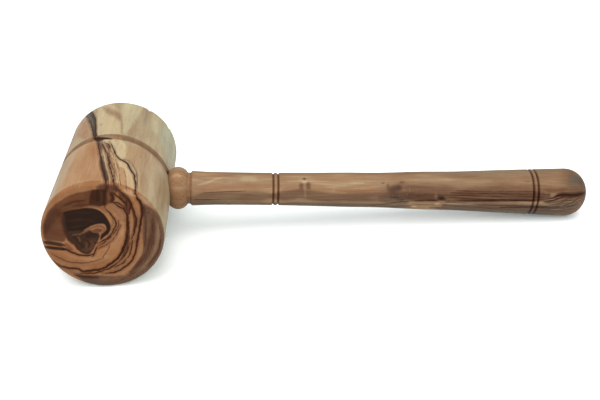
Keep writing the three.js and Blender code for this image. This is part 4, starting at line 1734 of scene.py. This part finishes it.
def olive_group():
    """Colour, roughness and height of olive wood, from its marks, rings and fibres."""
    tree, given, result = new_tree(
        "Olive wood",
        "ShaderNodeTree",
        [("Wood space", "Vector"), ("Pith", "Vector"), ("Ring spacing", "Float")]
        + [("Streak strength", "Float"), ("Ink tone", "Float")],
        [("Color", "Color"), ("Roughness", "Float"), ("Height", "Float")],
    )
    drawn = {
        name: add(tree, "ShaderNodeAttribute", attribute_name=name).outputs["Fac"]
        for name in MARKS
    }
    wood_space = given["Wood space"]
    fibre_inputs = {"Wood space": wood_space, "Streak width": STREAK_WIDTH}
    fibre = add(tree, "ShaderNodeGroup", fibre_inputs, node_tree=FIBRE).outputs
    ring_inputs = {
        "Wood space": wood_space,
        "Pith": given["Pith"],
        "Spacing": given["Ring spacing"],
    }
    rings = add(tree, "ShaderNodeGroup", ring_inputs, node_tree=GROWTH).outputs
    ink, umber, tone, warmth = (
        mixed(tree, drawn["seen"], rings[name], drawn[name.lower()])
        for name in ("Ink", "Umber", "Tone", "Warmth")
    )
    gaps = {"ink": ink, "umber": umber, "pale": drawn["pale"]}
    masks = ragged_masks(tree, wood_space, gaps)
    tone = with_fibres(tree, tone, fibre, drawn["end_grain"], given["Streak strength"])
    mottle = sums(tree, "SUBTRACT", fibre["Mottle"], 0.5)
    tone = sums(tree, "MULTIPLY_ADD", mottle, MOTTLE_TONE, tone)
    warmth = sums(tree, "MULTIPLY_ADD", mottle, MOTTLE_WARMTH, warmth)
    tone = with_lines(tree, tone, ink, masks)
    tone = sums(tree, "ADD", tone, drawn["rubbed"])
    ink_tone = sums(tree, "MULTIPLY_ADD", mottle, INK_UNEVEN, given["Ink tone"])
    tone = mixed(tree, masks["ink"], tone, sums(tree, "MAXIMUM", tone, ink_tone))
    warmth = mixed(tree, masks["ink"], warmth, INK_WARMTH)
    colours = {
        "Factor": sums(tree, "ADD", warmth, drawn["rubbed"]),
        "A": tone_ramp(tree, tone, COOL_TONES),
        "B": tone_ramp(tree, tone, WARM_TONES),
    }
    colour = add(tree, "ShaderNodeMix", colours, data_type="RGBA", clamp_factor=False)
    roughness = sums(tree, "MULTIPLY_ADD", fibre["Streaks"], STREAK_ROUGHNESS, SMOOTHEST)
    tree.links.new(colour.outputs["Result"], result["Color"])
    tree.links.new(roughness, result["Roughness"])
    tree.links.new(fibre["Height"], result["Height"])
    return tree


OLIVE = olive_group()
print("olive wood group with", len(OLIVE.nodes), "nodes")

# %% [markdown]
# ## The two woods
# Head and handle are cut from the same kind of wood, but their fibres lie square to each
# other. Each material turns Object coordinates into its own wood space and then uses the
# same group. The head's pith lies under its dark heart, and the handle's runs beside it,
# since a handle is split from the side of a log. The Bump node gives the oiled surface its
# faint grain.

# %% Finish both woods
HEAD_TURN = Matrix.Rotation(math.pi / 2, 3, "Z")
HANDLE_TURN = Matrix.Identity(3)
HEAD_PITH = HEAD_TURN.transposed() @ heart
HANDLE_PITH = (0, -15, -9)
OIL_IOR = 1.45
OIL_SHINE = 0.08
GRAIN_STRENGTH = 0.25
GRAIN_DEPTH = 0.0001


def finish_wood(material, fibre_turn, pith, spacing, streaks, ink_tone):
    """Gives a material olive wood whose fibres run the given way."""
    material.use_nodes = True
    tree = material.node_tree
    tree.nodes.clear()
    place = add(tree, "ShaderNodeTexCoord").outputs["Object"]
    turn = (lay_down.to_3x3().normalized() @ fibre_turn).to_euler()
    mapping = {"Vector": place, "Location": crossing, "Rotation": turn, "Scale": (MM, MM, MM)}
    wood_space = add(tree, "ShaderNodeMapping", mapping, vector_type="TEXTURE")
    olive_inputs = {
        "Wood space": wood_space.outputs[0],
        "Pith": pith,
        "Ring spacing": spacing,
        "Streak strength": streaks,
        "Ink tone": ink_tone,
    }
    olive = add(tree, "ShaderNodeGroup", olive_inputs, node_tree=OLIVE).outputs
    bump = {"Height": olive["Height"], "Strength": GRAIN_STRENGTH, "Distance": GRAIN_DEPTH}
    grain = add(tree, "ShaderNodeBump", bump)
    surface = {
        "Base Color": olive["Color"],
        "Roughness": olive["Roughness"],
        "Normal": grain.outputs[0],
        "IOR": OIL_IOR,
        "Specular IOR Level": OIL_SHINE,
    }
    shader = add(tree, "ShaderNodeBsdfPrincipled", surface)
    output = add(tree, "ShaderNodeOutputMaterial")
    tree.links.new(shader.outputs[0], output.inputs["Surface"])


finish_wood(head_wood, HEAD_TURN, HEAD_PITH, spacing=3.4, streaks=0.18, ink_tone=0.78)
finish_wood(handle_wood, HANDLE_TURN, HANDLE_PITH, spacing=3.0, streaks=0.4, ink_tone=0.9)
print("pith of the head:", [round(value, 1) for value in HEAD_PITH])

# %% Lay both pieces on the table
CREASE = math.radians(32)


def lay_on_table(name, mesh):
    """Makes the finished piece at the origin, with its place in its mesh."""
    mesh.transform(lay_down)
    mesh.shade_smooth()
    mesh.set_sharp_from_angle(angle=CREASE)
    mesh.name = name
    return put_in_scene(name, mesh)


head = lay_on_table("turned_head", head_mesh)
handle = lay_on_table("turned_handle", handle_mesh)
for piece, node, slot in ((head, "head", "head_wood"), (handle, "handle", "handle_wood")):
    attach(piece, "root")
    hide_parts(node)
    print(piece.name, [round(1000 * size, 2) for size in piece.dimensions], "mm")

# %% [markdown]
# ## Floor and light
# The mallet lies on seamless white paper, which is lit so strongly that it shines back a
# little. A wide plane with a faint glow does for the paper. The sky lights everything
# evenly. A soft main light stands overhead, a little to the front left, a lower front light
# keeps the shadows narrow, and a weak fill light from the right softens them. Each lamp has
# a strength, a spread and a turn, the last two in degrees.

# %% Floor
FLOOR_HALF = 12
PAPER_LOOK = {
    "Base Color": (0.95, 0.97, 0.98, 1),
    "Roughness": 0.9,
    "Specular IOR Level": 0.1,
    "Emission Color": (0.7, 0.96, 1, 1),
    "Emission Strength": 0.12,
}


def set_inputs(node, values):
    """Sets a node's named inputs."""
    for name, value in values.items():
        node.inputs[name].default_value = value


floor_mesh = bpy.data.meshes.new("floor")
corners = [(x * FLOOR_HALF, y * FLOOR_HALF, 0) for x, y in ((-1, -1), (1, -1), (1, 1), (-1, 1))]
floor_mesh.from_pydata(corners, [], [(0, 1, 2, 3)])
floor = put_in_scene("floor", floor_mesh)
floor_paint = bpy.data.materials.new("white_paper")
floor_paint.use_nodes = True
set_inputs(floor_paint.node_tree.nodes["Principled BSDF"], PAPER_LOOK)
floor_mesh.materials.append(floor_paint)
print("floor:", 2 * FLOOR_HALF, "m wide")

# %% Sky and lamps
SKY_LOOK = {"Color": (0.94, 1, 1, 1), "Strength": 0.72}
LAMP_COLOUR = (1, 0.97, 0.93)
LAMPS = {
    "main_light": (2.0, 50, (16, -8, 0)),
    "fill_light": (0.35, 60, (32, 28, 0)),
    "front_light": (0.95, 25, (50, 16, 0)),
}

sky = bpy.data.worlds.new("studio")
sky.use_nodes = True
set_inputs(sky.node_tree.nodes["Background"], SKY_LOOK)
bpy.context.scene.world = sky
for name, (strength, spread, turn) in LAMPS.items():
    lamp_data = bpy.data.lights.new(name, "SUN")
    lamp_data.energy = strength
    lamp_data.color = LAMP_COLOUR
    lamp_data.angle = math.radians(spread)
    lamp = put_in_scene(name, lamp_data)
    lamp.rotation_euler = [math.radians(angle) for angle in turn]
bpy.context.scene.view_settings.view_transform = "Standard"
print("lamps:", sorted(LAMPS))
